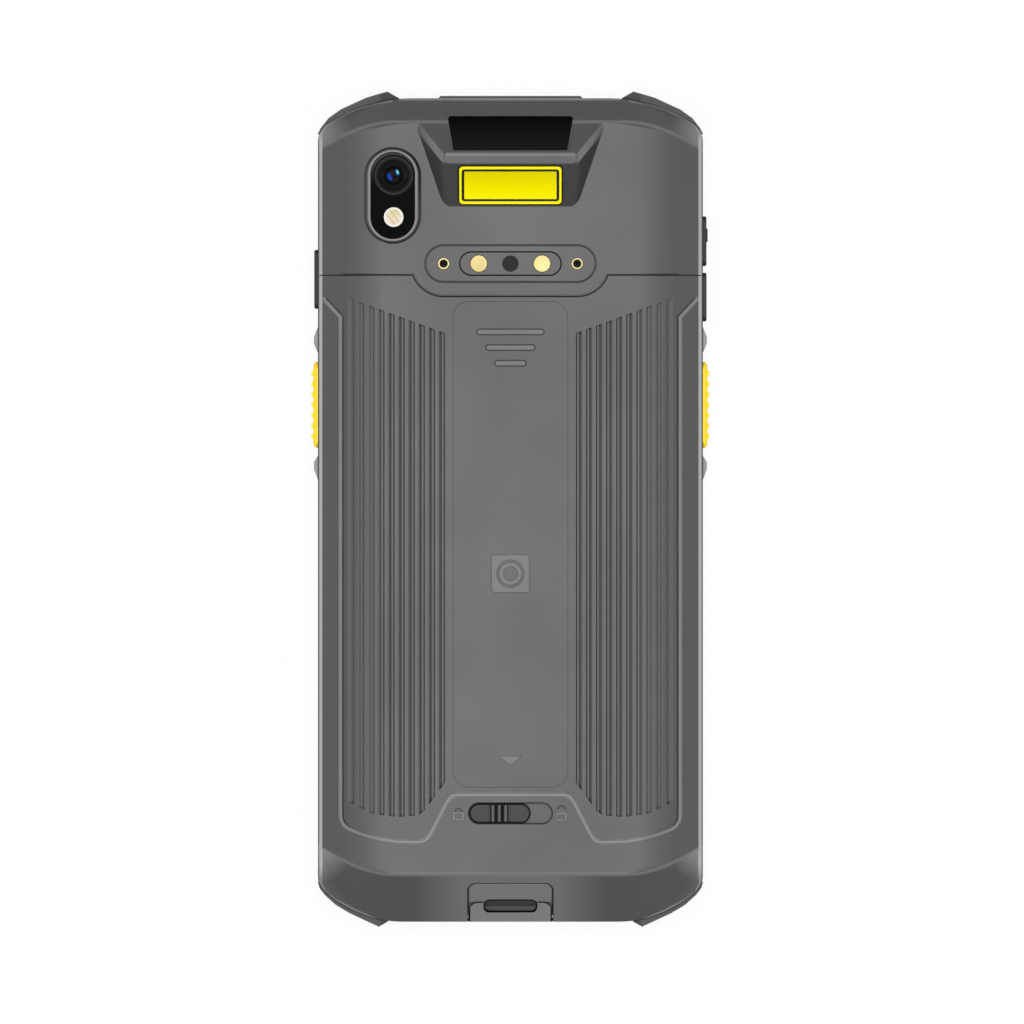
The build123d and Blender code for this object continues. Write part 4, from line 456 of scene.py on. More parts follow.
def hump_light_and_shade(g, painted, shade):
    """Painted light on the scanner hump: a pale ridge beside the window face, a darker one in front, and
    painted shade on the steep faces below.
    """
    hump = g.group("hump_bevel")
    across, along, _ = g.axes()
    painted = g.over(painted, scaled(shade, 0.05), hump["Below"], 0.42)
    side = g.times(g.fade(across, 12.7, 13.2), g.fade(along, 77.0, 70.0))
    painted = g.over(painted, scaled(shade, 2.2), hump["Bevel"], side, 0.5)
    painted = g.over(painted, scaled(shade, 0.1), hump["Bevel"], g.fade(across, 13.2, 12.7), 0.3)
    return g.over(painted, scaled(shade, 1.6), hump["Line"], 0.45)


def raised_marks(g, painted, shade):
    """Paler tops of the bars, the square mark and the arrow, and of the padlock bodies."""
    across, along, high = g.axes()
    painted = g.over(painted, shade, g.fade(high, 16.655, 16.7))
    bow = g.fade(along, -59.0, -58.9)
    return g.over(painted, g.blend(bow, scaled(shade, 1.7), scaled(shade, 0.25)),
                  g.fade(high, 16.56, 16.6), g.fade(high, 16.68, 16.65), g.fade(across, 8.9, 9.0),
                  g.fade(across, 13.0, 12.9), g.fade(along, -56.0, -57.0))


def raised_run(g, painted, shade, sloped):
    """Pale top of the raised line, a painted highlight, paler still on the slopes."""
    tone = g.blend(g.fade(g.axes()[0], 26.0, 32.0), shade, sloped)
    return g.over(painted, tone, g.fade(g.group("raised_run")["Distance"], 0.46, 0.34))


def corner_edge_highlight(g, painted, shade):
    """Painted highlight: a fine pale line along the shell's edge at the corners."""
    return g.over(painted, shade, g.fade(g.group("shell_edge")["Distance"], 0.22, 0.1), 0.42)


def pale_ring(g, painted, shade, rim):
    """Pale ring just outside the outline of a pill."""
    return g.over(painted, shade, g.fade(g.group("pill_outline", *rim)["Distance"], 0.52, 0.36))


def pale_bars(g, painted, shade, half_width, places):
    """Pale bars across the latch slider."""
    for x in places:
        off = g.size(g.minus(g.parts()[0], x * MM))
        painted = g.over(painted, shade, g.fade(off, half_width + 0.05, half_width - 0.05))
    return painted


def ledge(g, painted, shade):
    """Painted highlight on the pale level ledge at the top end."""
    _, along, high = g.axes()
    return g.over(painted, shade, g.fade(high, 9.3, 9.38), g.fade(high, 9.5, 9.42),
                  g.fade(along, 78.4, 78.6))


def bumper_facet_shade(g, painted, shade):
    """Painted shade on the facet at the inner end of each bumper."""
    return g.over(painted, shade, g.fade(g.axes()[0], 25.7, 25.2))


# ---- lines: each returns a mask of painted shade, as dark as gaps are
def outline(g, rim, width, strength=1.0, shift=0.0):
    """Painted shade along the outline of a pill; width and shift, outwards, are in millimetres."""
    off = g.size(g.minus(g.group("pill_outline", *rim)["Distance"], shift * MM))
    return g.fade(off, width / 2 + 0.05, width / 2 - 0.05, 0.0, strength)


def nail_slot_shade(g, rim):
    """Painted shade inside a nail slot, darkest along its outline and its upper part."""
    away, y = g.group("pill_outline", *rim)["Distance"], rim[1]
    floor = g.range(g.parts()[1], y - 0.35 * MM, y + 0.05 * MM, 0.35, 0.8)
    return g.times(g.most(floor, g.fade(away, -0.42, -0.26)), g.fade(away, 0.03, -0.05))


def seam_shade(g):
    """Painted shade: a soft dark border along the seam between the housing and the cover."""
    _, along, high = g.axes()
    pocket = g.group("pill_outline", *SEAM_POCKET)["Distance"]
    away = g.size(g.least(g.minus(SEAM_Y, along), pocket))
    return g.times(g.fade(away, 0.42, 0.12, 0.0, 0.6), g.fade(high, 13.0, 14.0))


def straight_shade_lines(g, half_width, places, strength=1.0):
    """Painted shade: straight dark lines along the terminal, at these X in millimetres."""
    offs = [g.size(g.minus(g.parts()[0], x * MM)) for x in places]
    return g.most(*[g.fade(off, half_width + 0.04, half_width - 0.06, 0.0, strength) for off in offs])


# ---- materials
def moulded(name, shade, rough=0.5, grain=0.22 * MM, bump=0.25, wear_and_highlight=0.35, specular=0.3, soft=False,
            drift=0.06, sheen=0.0, painted_glow=0.0, crevice=0.7, marks=(), lines=()):
    """Moulded plastic or rubber with grain, tone drift, outer edges lightened as partly rubbed and partly
    painted highlight, and painted shade in gaps.

    Each mark or line is a function from the sections above, then the values it takes."""
    g = new_material(name)
    fine, edge = g.group("moulded_grain", 1 / grain), g.group("edge_wear_highlight_shade", wear_and_highlight)
    toned = g.blend(fine["Drift"], scaled(shade, 1 - drift), scaled(shade, 1 + drift))
    painted = g.blend(g.times(fine["Speckle"], 0.5), scaled(shade, 1 - 2.2 * drift), toned)
    for mark, *values in marks:
        painted = mark(g, painted, *values)
    # Outer edges lightened: partly rubbed, partly a painted highlight.
    worn_and_highlit = g.blend(edge["Mask"], painted, scaled(shade, 2.4))
    # Painted shade: ambient occlusion, scaled by crevice, and the lines darken the colour; the same mask
    # drives Metallic, which dims the shine there too.
    painted_shade = g.most(g.times(edge["Crevice"], crevice), *[line(g, *values) for line, *values in lines])
    finished = g.blend(painted_shade, worn_and_highlit, scaled(shade, 0.06))
    inputs = {"Base Color": finished, "Metallic": painted_shade, "Specular IOR Level": specular,
              "Roughness": g.range(fine["Drift"], 0.0, 1.0, rough - 0.03, rough + 0.03),
              "Normal": g.bump(bump, 0.03, fine["Height"], Normal=edge["Normal"])}
    # Painted light given out by the surface itself, though it is no lamp.
    if painted_glow:
        inputs.update({"Emission Color": finished, "Emission Strength": painted_glow})
    if sheen:
        inputs.update({"Sheen Weight": sheen, "Sheen Roughness": 0.5})
    if soft:
        inputs.update({"Subsurface Weight": 0.15, "Subsurface Scale": 0.5 * MM})
    return g.finish(inputs)


def metal(name, shade, rough=0.3, scale=120.0):
    """Machined or plated metal with hairlines."""
    g = new_material(name)
    lines, edge = g.group("hairlines", scale), g.group("edge_wear_highlight_shade", 0.3)
    toned = g.blend(lines["Smear"], shade, scaled(shade, 0.82))
    lined = g.over(toned, scaled(shade, 1.25), lines["Mask"], 0.35)
    # Outer edges lightened: partly rubbed, partly a painted highlight.
    return g.finish({"Base Color": g.blend(edge["Mask"], lined, scaled(shade, 1.5)), "Metallic": 1.0,
                     "Roughness": g.range(lines["Smear"], 0.0, 1.0, rough, rough + 0.14),
                     "Normal": g.bump(0.1, 0.02, lines["Mask"], Normal=edge["Normal"])})


def gloss(name, shade, rough=0.05, coat=1.0, specular=0.5, smear=0.06):
    """Dark polished glass or lacquer, seen as an opaque gloss surface with faint smears."""
    g = new_material(name)
    lines, edge = g.group("hairlines", 60.0, 0.9), g.group("edge_wear_highlight_shade", 0.1)
    return g.finish({"Base Color": g.blend(lines["Smear"], shade, scaled(shade, 1.25)),
                     "Roughness": g.plus(g.times(lines["Smear"], smear), g.times(lines["Mask"], 0.03),
                                         rough),
                     "Specular IOR Level": specular, "Coat Weight": coat, "Coat Roughness": 0.03,
                     "Normal": edge["Normal"]})


def board(name, shade):
    """Circuit board: solder mask over copper tracks, with pads."""
    g = new_material(name)
    tracks = g.node("TexBrick", {"Vector": g.place(), "Scale": 320.0, "Mortar Size": 0.045,
                                 "Color1": (0, 0, 0, 1), "Color2": (0.35, 0.35, 0.35, 1),
                                 "Mortar": (1, 1, 1, 1)}).outputs["Color"]
    pads = g.math("LESS_THAN", g.cells(420.0, distance="CHEBYCHEV"), 0.12)
    base = g.blend(tracks, shade, scaled(shade, 1.7))
    return g.finish({"Base Color": g.blend(pads, base, tint(214, 190, 120)), "Metallic": pads,
                     "Roughness": 0.4, "Normal": g.bump(0.4, 0.03, tracks)})


def banded(name, shade, dark, scale, rough=0.45, axis="X"):
    """Film or cable with fine parallel lines."""
    g = new_material(name)
    wave = g.node("TexWave", {"Vector": g.place(), "Scale": scale}, bands_direction=axis)
    lines = g.range(wave.outputs["Fac"], 0.35, 0.65)
    toned = g.blend(g.group("moulded_grain", 3000.0, 60.0)["Drift"], shade, scaled(shade, 0.88))
    return g.finish({"Base Color": g.blend(lines, dark, toned), "Roughness": rough,
                     "Normal": g.bump(0.3, 0.04, lines)})


def screen_glass():
    """Front glass: black printed border round a faint display area, with clear spots at the top."""
    g = new_material("screen_glass")
    smear, edge = g.group("hairlines", 60.0, 0.9)["Smear"], g.group("edge_wear_highlight_shade", 0.1)
    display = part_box("display_panel")[1]
    lit = g.times(*[g.fade(g.size(part), reach / MM - 0.35, reach / MM - 0.45)
                    for part, reach in zip(g.parts(), display[:2])])
    base = g.blend(lit, tint(3, 3, 4), tint(46, 50, 62))
    spots = []
    for node, reach, spot in (("front_camera", 1.5, tint(30, 34, 60)),
                              ("status_led", 0.7, tint(120, 126, 118))):
        x, y, _ = middle(node)
        off = g.vector("DISTANCE", g.place(), (x, y, 0.5 * MM))
        spots.append(g.fade(off, reach, reach - 0.08))
        base = g.blend(spots[-1], base, spot)
    sheen = g.plus(g.times(lit, 0.5), g.times(smear, 0.12))
    return g.finish({"Base Color": g.over(base, tint(60, 62, 70), smear, 0.12),
                     "Roughness": g.plus(g.times(smear, 0.05), 0.03), "Specular IOR Level": 0.16,
                     "Coat Weight": g.most(sheen, *spots), "Coat Roughness": 0.04,
                     "Normal": edge["Normal"]})


def scanner_glass():
    """Black scanner window with a painted reflection that pales it slightly towards its lower edge."""
    g = new_material("scanner_glass")
    low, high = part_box("scan_window")
    smear = g.group("hairlines", 60.0)["Smear"]
    # Painted reflection: paler towards the lower edge.
    fall = g.range(g.parts()[1], high[1], low[1])
    return g.finish({"Base Color": g.blend(fall, grey(1), tint(30, 30, 31)),
                     "Roughness": g.plus(g.times(smear, 0.06), 0.08), "Specular IOR Level": 0.012})


def flash_plastic(shade):
    """Clear flash cap: white rim, cream middle and the yellow of the lamp behind its top."""
    g = new_material("flash_plastic_clear")
    x, y, _ = middle("flash_diffuser")
    right, up, _ = g.node("SeparateXYZ", {0: g.vector("SUBTRACT", g.place(), (x, y, 0))}).outputs
    flat = g.node("CombineXYZ", {0: right, 1: up}).outputs[0]
    from_lamp = g.vector("DISTANCE", flat, mm(0, 0.85, 0))
    from_foot = g.vector("DISTANCE", flat, mm(0, -1.0, 0))
    streak = g.math("SINE", g.times(g.plus(right, g.times(up, 0.8)), 5200.0))
    cells = g.cells(2600.0)
    base = g.blend(g.fade(from_foot, 1.3, 0.2, 0.0, 0.7), shade, tint(236, 205, 184))
    for share, tone in ((g.fade(from_lamp, 1.25, 0.25, 0.0, 0.9), tint(214, 214, 132)),
                        (g.range(streak, 0.0, 1.0, 0.0, 0.45), tint(176, 160, 140)),
                        (g.fade(g.vector("LENGTH", flat), 1.45, 1.62), tint(250, 250, 246)),
                        (g.range(cells, 0.0, 0.5, 0.0, 0.25), tint(205, 196, 176))):
        base = g.blend(share, base, tone)
    # The cap gives out a little painted light of its own.
    return g.finish({"Base Color": base, "Emission Color": base, "Emission Strength": 0.04,
                     "Roughness": 0.5, "Specular IOR Level": 0.05, "Normal": g.bump(0.35, 0.05, cells)})


def label_film(shade):
    """Yellow film: bright border and a field that deepens towards its top."""
    g = new_material("label_film")
    fine = g.group("moulded_grain", 4000.0, 90.0)
    (_, low, _), (side, high, _) = [[value / MM for value in corner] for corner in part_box("label_plate")]
    across, along, _ = g.axes()
    field = g.times(g.fade(across, side - 0.7, side - 0.8), g.fade(along, low + 0.75, low + 0.85),
                    g.fade(along, high - 0.75, high - 0.85))
    deep = g.blend(g.fade(along, low + 1.5, high - 0.8), scaled(shade, 0.92),
                   (shade[0] * 0.66, shade[1] * 0.64, 0.0, 1.0))
    finished = g.blend(field, g.blend(fine["Drift"], shade, scaled(shade, 0.96)), deep)
    # The film gives out painted light of its own, brighter than its tilted face is lit.
    return g.finish({"Base Color": finished, "Emission Color": finished, "Emission Strength": 0.22,
                     "Roughness": 0.5, "Specular IOR Level": 0.04,
                     "Normal": g.bump(0.05, 0.02, fine["Height"])})


def coated_lens(shade):
    """Near-black lens with two slanted glints, deep blue and pale blue, painted on as reflections in its
    coating, and it gives out painted light of its own.
    """
    g = new_material("lens_element_painted_glints")
    lens_x, lens_y, _ = middle("camera_lens")

    def painted_glint(x, y, size_x, size_y):
        moved = g.vector("SUBTRACT", g.place(), (lens_x + x * MM, lens_y + y * MM, 0))
        turned = g.node("VectorRotate", {"Vector": moved, "Angle": GLINT_LEAN}).outputs[0]
        flat = g.vector("MULTIPLY", turned, (1 / (size_x * MM), 1 / (size_y * MM), 0))
        return g.range(g.vector("LENGTH", flat), 1.0, 0.55)

    deep = g.blend(painted_glint(-0.78, -0.3, 0.55, 0.92), tint(12, 12, 13), scaled(shade, 1.4))
    halo = g.blend(painted_glint(0.72, 0.58, 0.46, 0.78), deep, scaled(shade, 0.7))
    finished = g.blend(painted_glint(0.75, 0.64, 0.3, 0.58), halo, tint(86, 190, 196))
    # The lens gives out painted light of its own, which keeps the glints bright.
    return g.finish({"Base Color": finished, "Emission Color": finished, "Emission Strength": 0.25,
                     "Roughness": 0.12, "Specular IOR Level": 0.008})


def dress(material, *names):
    """Gives CAD nodes a material in place of their own."""
    for name in names:
        node = frame["nodes"][name]
        if not node.material_slots:
            node.data.materials.append(material)
        for place in node.material_slots:
            place.material = material


# ---- modelling helpers
def deselect():
    bpy.ops.object.select_all(action="DESELECT")


def named(name):
    """The piece just added, with its name."""
    piece = bpy.context.active_object
    piece.name = name
    return piece


def select_mesh():
    bpy.ops.mesh.select_all(action="SELECT")


def extrude(height):
    bpy.ops.mesh.extrude_region_move(TRANSFORM_OT_translate={"value": (0, 0, height)})


def close_up():
    """Turns the faces being edited outwards and ends editing."""
    select_mesh()
    bpy.ops.mesh.normals_make_consistent(inside=False)
    bpy.ops.object.mode_set(mode="OBJECT")


def thicken(height):
    """Gives the faces being edited a height and ends editing."""
    select_mesh()
    extrude(height)
    close_up()


def lathe(name, centre, base, profile, sides=48):
    """Turned piece: a circle is extruded and resized along (radius, height over base) in millimetres."""
    deselect()
    points = [mm(radius, base + height) for radius, height in profile]
    radius, height = points[0]
    axis = Vector((*centre, 0))
    bpy.ops.mesh.primitive_circle_add(vertices=sides, radius=max(radius, 1e-6), enter_editmode=True,
                                      location=axis + Vector((0, 0, height)))
    piece = named(name)
    select_mesh()
    for new_radius, new_height in points[1:]:
        extrude(new_height - height)
        factor = max(new_radius, 1e-6) / max(radius, 1e-6)
        if abs(factor - 1) > 1e-9:
            bpy.ops.transform.resize(value=(factor, factor, 1),
                                     center_override=axis + Vector((0, 0, new_height)))
        radius, height = new_radius, new_height
    select_mesh()
    bpy.ops.mesh.remove_doubles(threshold=2e-6)
    close_up()
    return piece


def plate(name, width, depth, radius, thickness, line=None, segments=6):
    """Plate with rounded corners, its back on Z = 0, or a frame of that line. All in millimetres."""
    deselect()
    bpy.ops.mesh.primitive_plane_add(size=1, enter_editmode=True)
    piece = named(name)
    bpy.ops.transform.resize(value=(width * MM, depth * MM, 1))
    bpy.ops.mesh.bevel(offset=radius * MM, segments=segments, affect="VERTICES")
    if line is not None:
        select_mesh()
        bpy.ops.mesh.inset(thickness=line * MM, depth=0)
        bpy.ops.mesh.delete(type="FACE")
    thicken(thickness * MM)
    return piece


def settle(piece, material, location=None, turn=None, smooth=0.6, body="root"):
    """Puts a finished piece in place, bakes its transform, dresses it and lets it ride."""
    if location is not None:
        piece.location = location
    if turn is not None:
        piece.rotation_euler = turn
    deselect()
    bpy.context.view_layer.objects.active = piece
    piece.select_set(True)
    bpy.ops.object.transform_apply(location=True, rotation=True, scale=True)
    bpy.ops.object.shade_smooth_by_angle(angle=smooth)
    piece.data.materials.clear()
    piece.data.materials.append(material)
    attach(piece, body)


def settle_row(piece, names, step, material, **settings):
    """Settles a piece and copies of it, each with its own mesh and one step further along X."""
    row = [piece]
    for name in names:
        bpy.ops.object.duplicate(linked=False)
        row.append(named(name))
        row[-1].location.x += step
    for made in row:
        settle(made, material, **settings)


# ---- finishes
class TERMINAL_OT_housing(Operator):
    """Finishes the shells, the frame and the mouldings round them"""
    bl_idname = "terminal.housing"
    bl_label = "Housing"

    def execute(self, context):
        f = context.scene.terminal_finish
        body = {"rough": f.shell_rough, "grain": f.grain, "bump": 0.2}
        # Painted highlights on both shells: the side chamfers and the corner edges.
        shell_highlights = [(painted_strip_highlight, f.edge_strip_highlight), (corner_edge_highlight, scaled(f.relief, 3.0))]
        capsule = (0.0, CAPSULE_Y, *pill("contact_carrier")[2:])
        # Painted shade rings round the two inserts.
        inserts = [(outline, (x, CAPSULE_Y, INSERT_RADIUS, INSERT_RADIUS), 0.18, 0.7, 0.1)
                   for x in (-CAPSULE_END, CAPSULE_END)]
        # Marks lay painted highlights, sheen and shade on the shells; lines lay painted shade.
        dress(moulded("housing_plastic_grained", f.shell, marks=[
            (shoulder_sheen, f.shell), (ends, f.relief, 1.0, *TOP_CREASE, 0.0, 0.62), (hump_light_and_shade, f.relief),
            (ledge, scaled(f.relief, 1.8)), *shell_highlights],
            lines=[(outline, capsule, 0.3), (seam_shade,), *inserts], **body), "rear_housing")
        dress(moulded("cover_plastic_grained", f.shell, marks=[
            (shoulder_sheen, f.shell), (ends, f.relief, -1.0, *FOOT_CREASE, 1.0, 0.8),
            (raised_marks, f.relief), (raised_run, scaled(f.relief, 1.5), scaled(f.relief, 1.6)),
            *shell_highlights], lines=[(seam_shade,), (outline, LATCH_SLOT, 0.3, 0.8, 0.04)], **body),
            "battery_cover")
        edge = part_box("usb_surround")[1][0] / MM
        # The port surround is paler than the shells: partly its own colour, partly painted light like the
        # paler middle of the foot; painted shade in the nail slot and at its sides.
        dress(moulded("port_plastic_grained", scaled(f.relief, 1.5), lines=[
            (nail_slot_shade, NAIL_SLOT), (straight_shade_lines, 0.24, (-edge, edge), 0.8)], **body), "usb_surround")
        window = pill("camera_window")
        bezel = (*window[:2], *pill("camera_bezel")[2:])
        # The bezel gets a pale ring round the glass and painted shade along its outline.
        dress(moulded("bezel_plastic_grained", f.shell, marks=[(pale_ring, scaled(f.relief, 1.6), window)],
                      lines=[(outline, bezel, 0.2, 0.8, -0.18)], **body), "camera_bezel")
        # The frame's ledge carries a painted highlight.
        dress(moulded("frame_plastic_grained", f.frame, grain=f.grain, crevice=0.45,
                      marks=[(ledge, scaled(f.relief, 1.8))]), "front_frame")
        dress(moulded("guard_plastic", f.guard, grain=f.grain, wear_and_highlight=0.4),
              "trigger_bezel_left", "trigger_bezel_right")
        dress(moulded("trim_plastic", scaled(f.frame, 0.6), rough=0.45, grain=f.grain), "top_trim_bar")
        dress(moulded("bay_plastic", scaled(f.black, 1.2), rough=0.6, grain=f.grain), "battery_bay")
        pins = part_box("charging_contacts")[1][0] - CONTACT_RADIUS
        # Painted shade rings round the gold contacts.
        rings = [(outline, (x, CAPSULE_Y, CONTACT_RADIUS, CONTACT_RADIUS), 0.16, 0.8, 0.06)
                 for x in (-pins, pins)]
        dress(moulded("carrier_plastic", f.shell, lines=[(outline, capsule, 0.34), *rings], **body),
              "contact_carrier")
        return {"FINISHED"}


class TERMINAL_OT_rubber(Operator):
    """Finishes the bumpers, seals, plug and port flap"""
    bl_idname = "terminal.rubber"
    bl_label = "Rubber"

    def execute(self, context):
        f = context.scene.terminal_finish
        bumpers = ["corner_bumper_%s_%s" % (end, hand) for end in ("top", "bottom")
                   for hand in ("left", "right")]
        dress(moulded("bumper_rubber_ribbed", f.bumper, rough=0.6, grain=0.3 * MM, bump=0.5, wear_and_highlight=0.3,
                      sheen=0.1, specular=0.2, marks=[(bumper_facet_shade, scaled(f.bumper, 0.5))]), *bumpers)
        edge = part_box("usb_flap")[1][0] / MM - 0.1
        # The flap is paler still: partly its own colour, partly painted light like the paler middle of the
        # foot; painted shade in its nail slot and along its sides.
        dress(moulded("flap_rubber", scaled(f.relief, 1.75), rough=0.55, grain=0.2 * MM, wear_and_highlight=0.2,
                      lines=[(nail_slot_shade, NAIL_SLOT), (straight_shade_lines, 0.26, (-edge, edge))]), "usb_flap")
        dress(moulded("seal_rubber", scaled(f.black, 0.7), rough=0.75, grain=0.15 * MM, sheen=0.1),
              "battery_seal", "glass_seal", "scan_window_gasket")
        dress(moulded("plug_rubber", scaled(f.black, 0.7), rough=0.6, specular=0.15, grain=0.18 * MM),
              "carrier_plug")
        return {"FINISHED"}


class TERMINAL_OT_keys(Operator):
    """Finishes the triggers, the side keys and the latch"""
    bl_idname = "terminal.keys"
    bl_label = "Keys"

    def execute(self, context):
        f = context.scene.terminal_finish
        # The triggers give out a little painted light of their own.
        dress(moulded("trigger_plastic", f.trigger, rough=0.42, grain=0.18 * MM, bump=0.2, wear_and_highlight=0.1,
                      soft=True, drift=0.03, painted_glow=0.1, specular=0.2, crevice=0.3),
              "scan_trigger_left", "scan_trigger_right")
        dress(moulded("key_plastic", f.black, grain=0.18 * MM, wear_and_highlight=0.3, specular=0.25),
              "function_key", "power_key", "volume_key")
        # Painted shade along the slider's outline and in its grooves.
        dress(moulded("slider_plastic", grey(76), specular=0.06, grain=0.18 * MM, wear_and_highlight=0.15,
                      crevice=0.3, marks=[(pale_bars, grey(94), 0.22, (-3.4, -2.17, -0.93))],
                      lines=[(outline, pill("latch_slider"), 0.38, 1.0, -0.14),
                             (straight_shade_lines, 0.17, (-3.86, -0.48)),
                             (straight_shade_lines, 0.36, (-2.8, -1.58))]), "latch_slider")
        dress(metal("latch_steel", tint(170, 172, 176), rough=0.34), "latch_bolt", "latch_keeper")
        dress(metal("pin_steel", tint(190, 192, 196), rough=0.25), "usb_flap_pin")
        return {"FINISHED"}


class TERMINAL_OT_glazing(Operator):
    """Finishes the glass, the lenses and the flash"""
    bl_idname = "terminal.glazing"
    bl_label = "Glass and lenses"

    def execute(self, context):
        f = context.scene.terminal_finish
        dress(screen_glass(), "touch_glass")
        dress(gloss("camera_glass", tint(5, 5, 6), rough=0.02, coat=0.0, specular=0.04, smear=0.01),
              "camera_window")
        dress(scanner_glass(), "scan_window")
        dress(gloss("lens_ring_lacquer", tint(13, 13, 14), rough=0.35, coat=0.0, specular=0.05),
              "camera_lens_ring")
        dress(gloss("lens_coating", scaled(f.coating, 0.1), rough=0.1, coat=0.0, specular=0.05),
              "camera_lens")
        dress(gloss("small_lens", scaled(f.coating, 0.5), rough=0.03), "front_camera", "scan_lenses")
        dress(gloss("led_lens", tint(220, 222, 216), rough=0.1), "status_led")
        dress(flash_plastic(f.flash), "flash_diffuser")
        dress(label_film(f.label), "label_plate")
        dress(gloss("display_face", tint(8, 9, 12), rough=0.08), "display_panel")
        return {"FINISHED"}


class TERMINAL_OT_metals(Operator):
    """Finishes the contacts, inserts, screws and metal plates"""
    bl_idname = "terminal.metals"
    bl_label = "Metals"

    def execute(self, context):
        f = context.scene.terminal_finish
        dress(metal("contact_gold", f.gold, rough=0.62, scale=200.0), "charging_contacts")
        dress(metal("insert_brass", tint(176, 164, 118), rough=0.5), "threaded_inserts")
        dress(metal("spring_gold", scaled(f.gold, 1.3), rough=0.35), "battery_contacts")
        dress(metal("screw_steel", tint(60, 61, 64), rough=0.32), "housing_screws")
        dress(metal("chassis_magnesium", tint(150, 151, 150), rough=0.5, scale=60.0), "chassis_plate")
        dress(metal("tin_plate", tint(180, 182, 184)),
              "shield_cans", "sim_card_holder", "usb_c_receptacle", "vibration_motor")
        dress(moulded("module_black", tint(26, 26, 28), rough=0.4, grain=0.12 * MM),
              "camera_module", "scan_engine")
        dress(metal("mesh_steel", tint(24, 24, 26), rough=0.5), "earpiece_mesh")
        return {"FINISHED"}


class TERMINAL_OT_electronics(Operator):
    """Finishes the boards, the battery and what is mounted on them"""
    bl_idname = "terminal.electronics"
    bl_label = "Electronics"

    def execute(self, context):
        dress(board("solder_mask", tint(16, 66, 42)), "main_board", "sub_board", "side_key_boards")
        dress(banded("flex_film", tint(196, 128, 40), tint(120, 70, 18), 500.0), "board_flex")
        dress(banded("battery_wrap_film", tint(66, 68, 72), tint(60, 62, 66), 60.0, rough=0.38, axis="Y"),
              "battery_pack")
        dress(banded("ferrite_sheet", tint(58, 56, 54), tint(40, 38, 37), 220.0), "nfc_antenna")
        dress(moulded("component_black", tint(40, 40, 42), rough=0.45, grain=0.15 * MM),
              "key_switches", "loudspeaker", "earpiece")
        return {"FINISHED"}


# ---- detail pieces
class TERMINAL_OT_sticker(Operator):
    """Prints a border line on the plain sticker and lays a dark edge round it as a painted shadow"""
    bl_idname = "terminal.sticker"
    bl_label = "Sticker"

    def execute(self, context):
        f, d = context.scene.terminal_finish, context.scene.terminal_detail
        width, run, rise = [(high - low) / MM for low, high in zip(*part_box("label_plate"))]
        tall = math.hypot(run, rise) - 0.2
        ink = moulded("sticker_ink_and_edge_shadow", f.ink, rough=0.4, grain=0.2 * MM, bump=0.05, wear_and_highlight=0.0)
        normal = Vector((0, -math.sin(LABEL_LEAN), math.cos(LABEL_LEAN)))
        # The second frame is a painted shadow along the sticker's edge, in the ink colour.
        for name, inset, line, sunk in (("sticker_border", d.border_inset / MM, d.border_width / MM, 0.0),
                                        ("sticker_edge_shadow", -0.1, 0.3, 0.1)):
            piece = plate(name, width - 1.5 * inset, tall - 2 * inset, 1.0 - inset * 0.4,
                          sunk + 0.012, line)
            settle(piece, ink, location=middle("label_plate") + normal * ((0.1 - sunk) * MM),
                   turn=(LABEL_LEAN, 0, 0))
        return {"FINISHED"}


class TERMINAL_OT_camera_parts(Operator):
    """Builds the stepped lens throat and its front glass"""
    bl_idname = "terminal.camera_parts"
    bl_label = "Camera parts"

    def execute(self, context):
        f = context.scene.terminal_finish
        centre = middle("camera_lens")[:2]
        ring = top_of("camera_lens_ring")
        glass = top_of("camera_window") - ring
        throat = [(4.05, glass - 0.02), (4.02, glass + 0.03), (3.9, 0.0), (3.7, 0.06), (3.4, 0.05),
                  (3.12, -0.01), (2.96, -0.12), (2.5, -0.34), (2.1, -0.5), (1.94, -0.6), (1.86, -0.66)]
        settle(lathe("lens_throat", centre, ring, throat, 96),
               gloss("throat_lacquer", tint(15, 15, 16), rough=0.3, coat=0.0, specular=0.06))
        dome = [(1.84, -0.2), (1.78, -0.06), (1.5, 0.03), (1.1, 0.09), (0.6, 0.12), (0.0, 0.13)]
        settle(lathe("lens_element", centre, top_of("camera_lens"), dome, 64), coated_lens(f.coating),
               smooth=1.2)
        return {"FINISHED"}


class TERMINAL_OT_flash_rings(Operator):
    """Builds the moulded rings on the flash cap"""
    bl_idname = "terminal.flash_rings"
    bl_label = "Flash rings"

    def execute(self, context):
        f, count = context.scene.terminal_finish, context.scene.terminal_detail.ring_count
        reach = 1.42
        profile = [(reach + 0.1, -0.05), (reach, 0.02)]
        for ring in range(count):
            outer = reach * (1 - ring / count)
            profile += [(max(outer - 0.05, 0.02), 0.05), (max(outer - reach / count, 0), 0.0)]
        cap = lathe("flash_rings", middle("flash_diffuser")[:2], top_of("flash_diffuser"), profile)
        settle(cap, flash_plastic(f.flash), smooth=0.4)
        return {"FINISHED"}


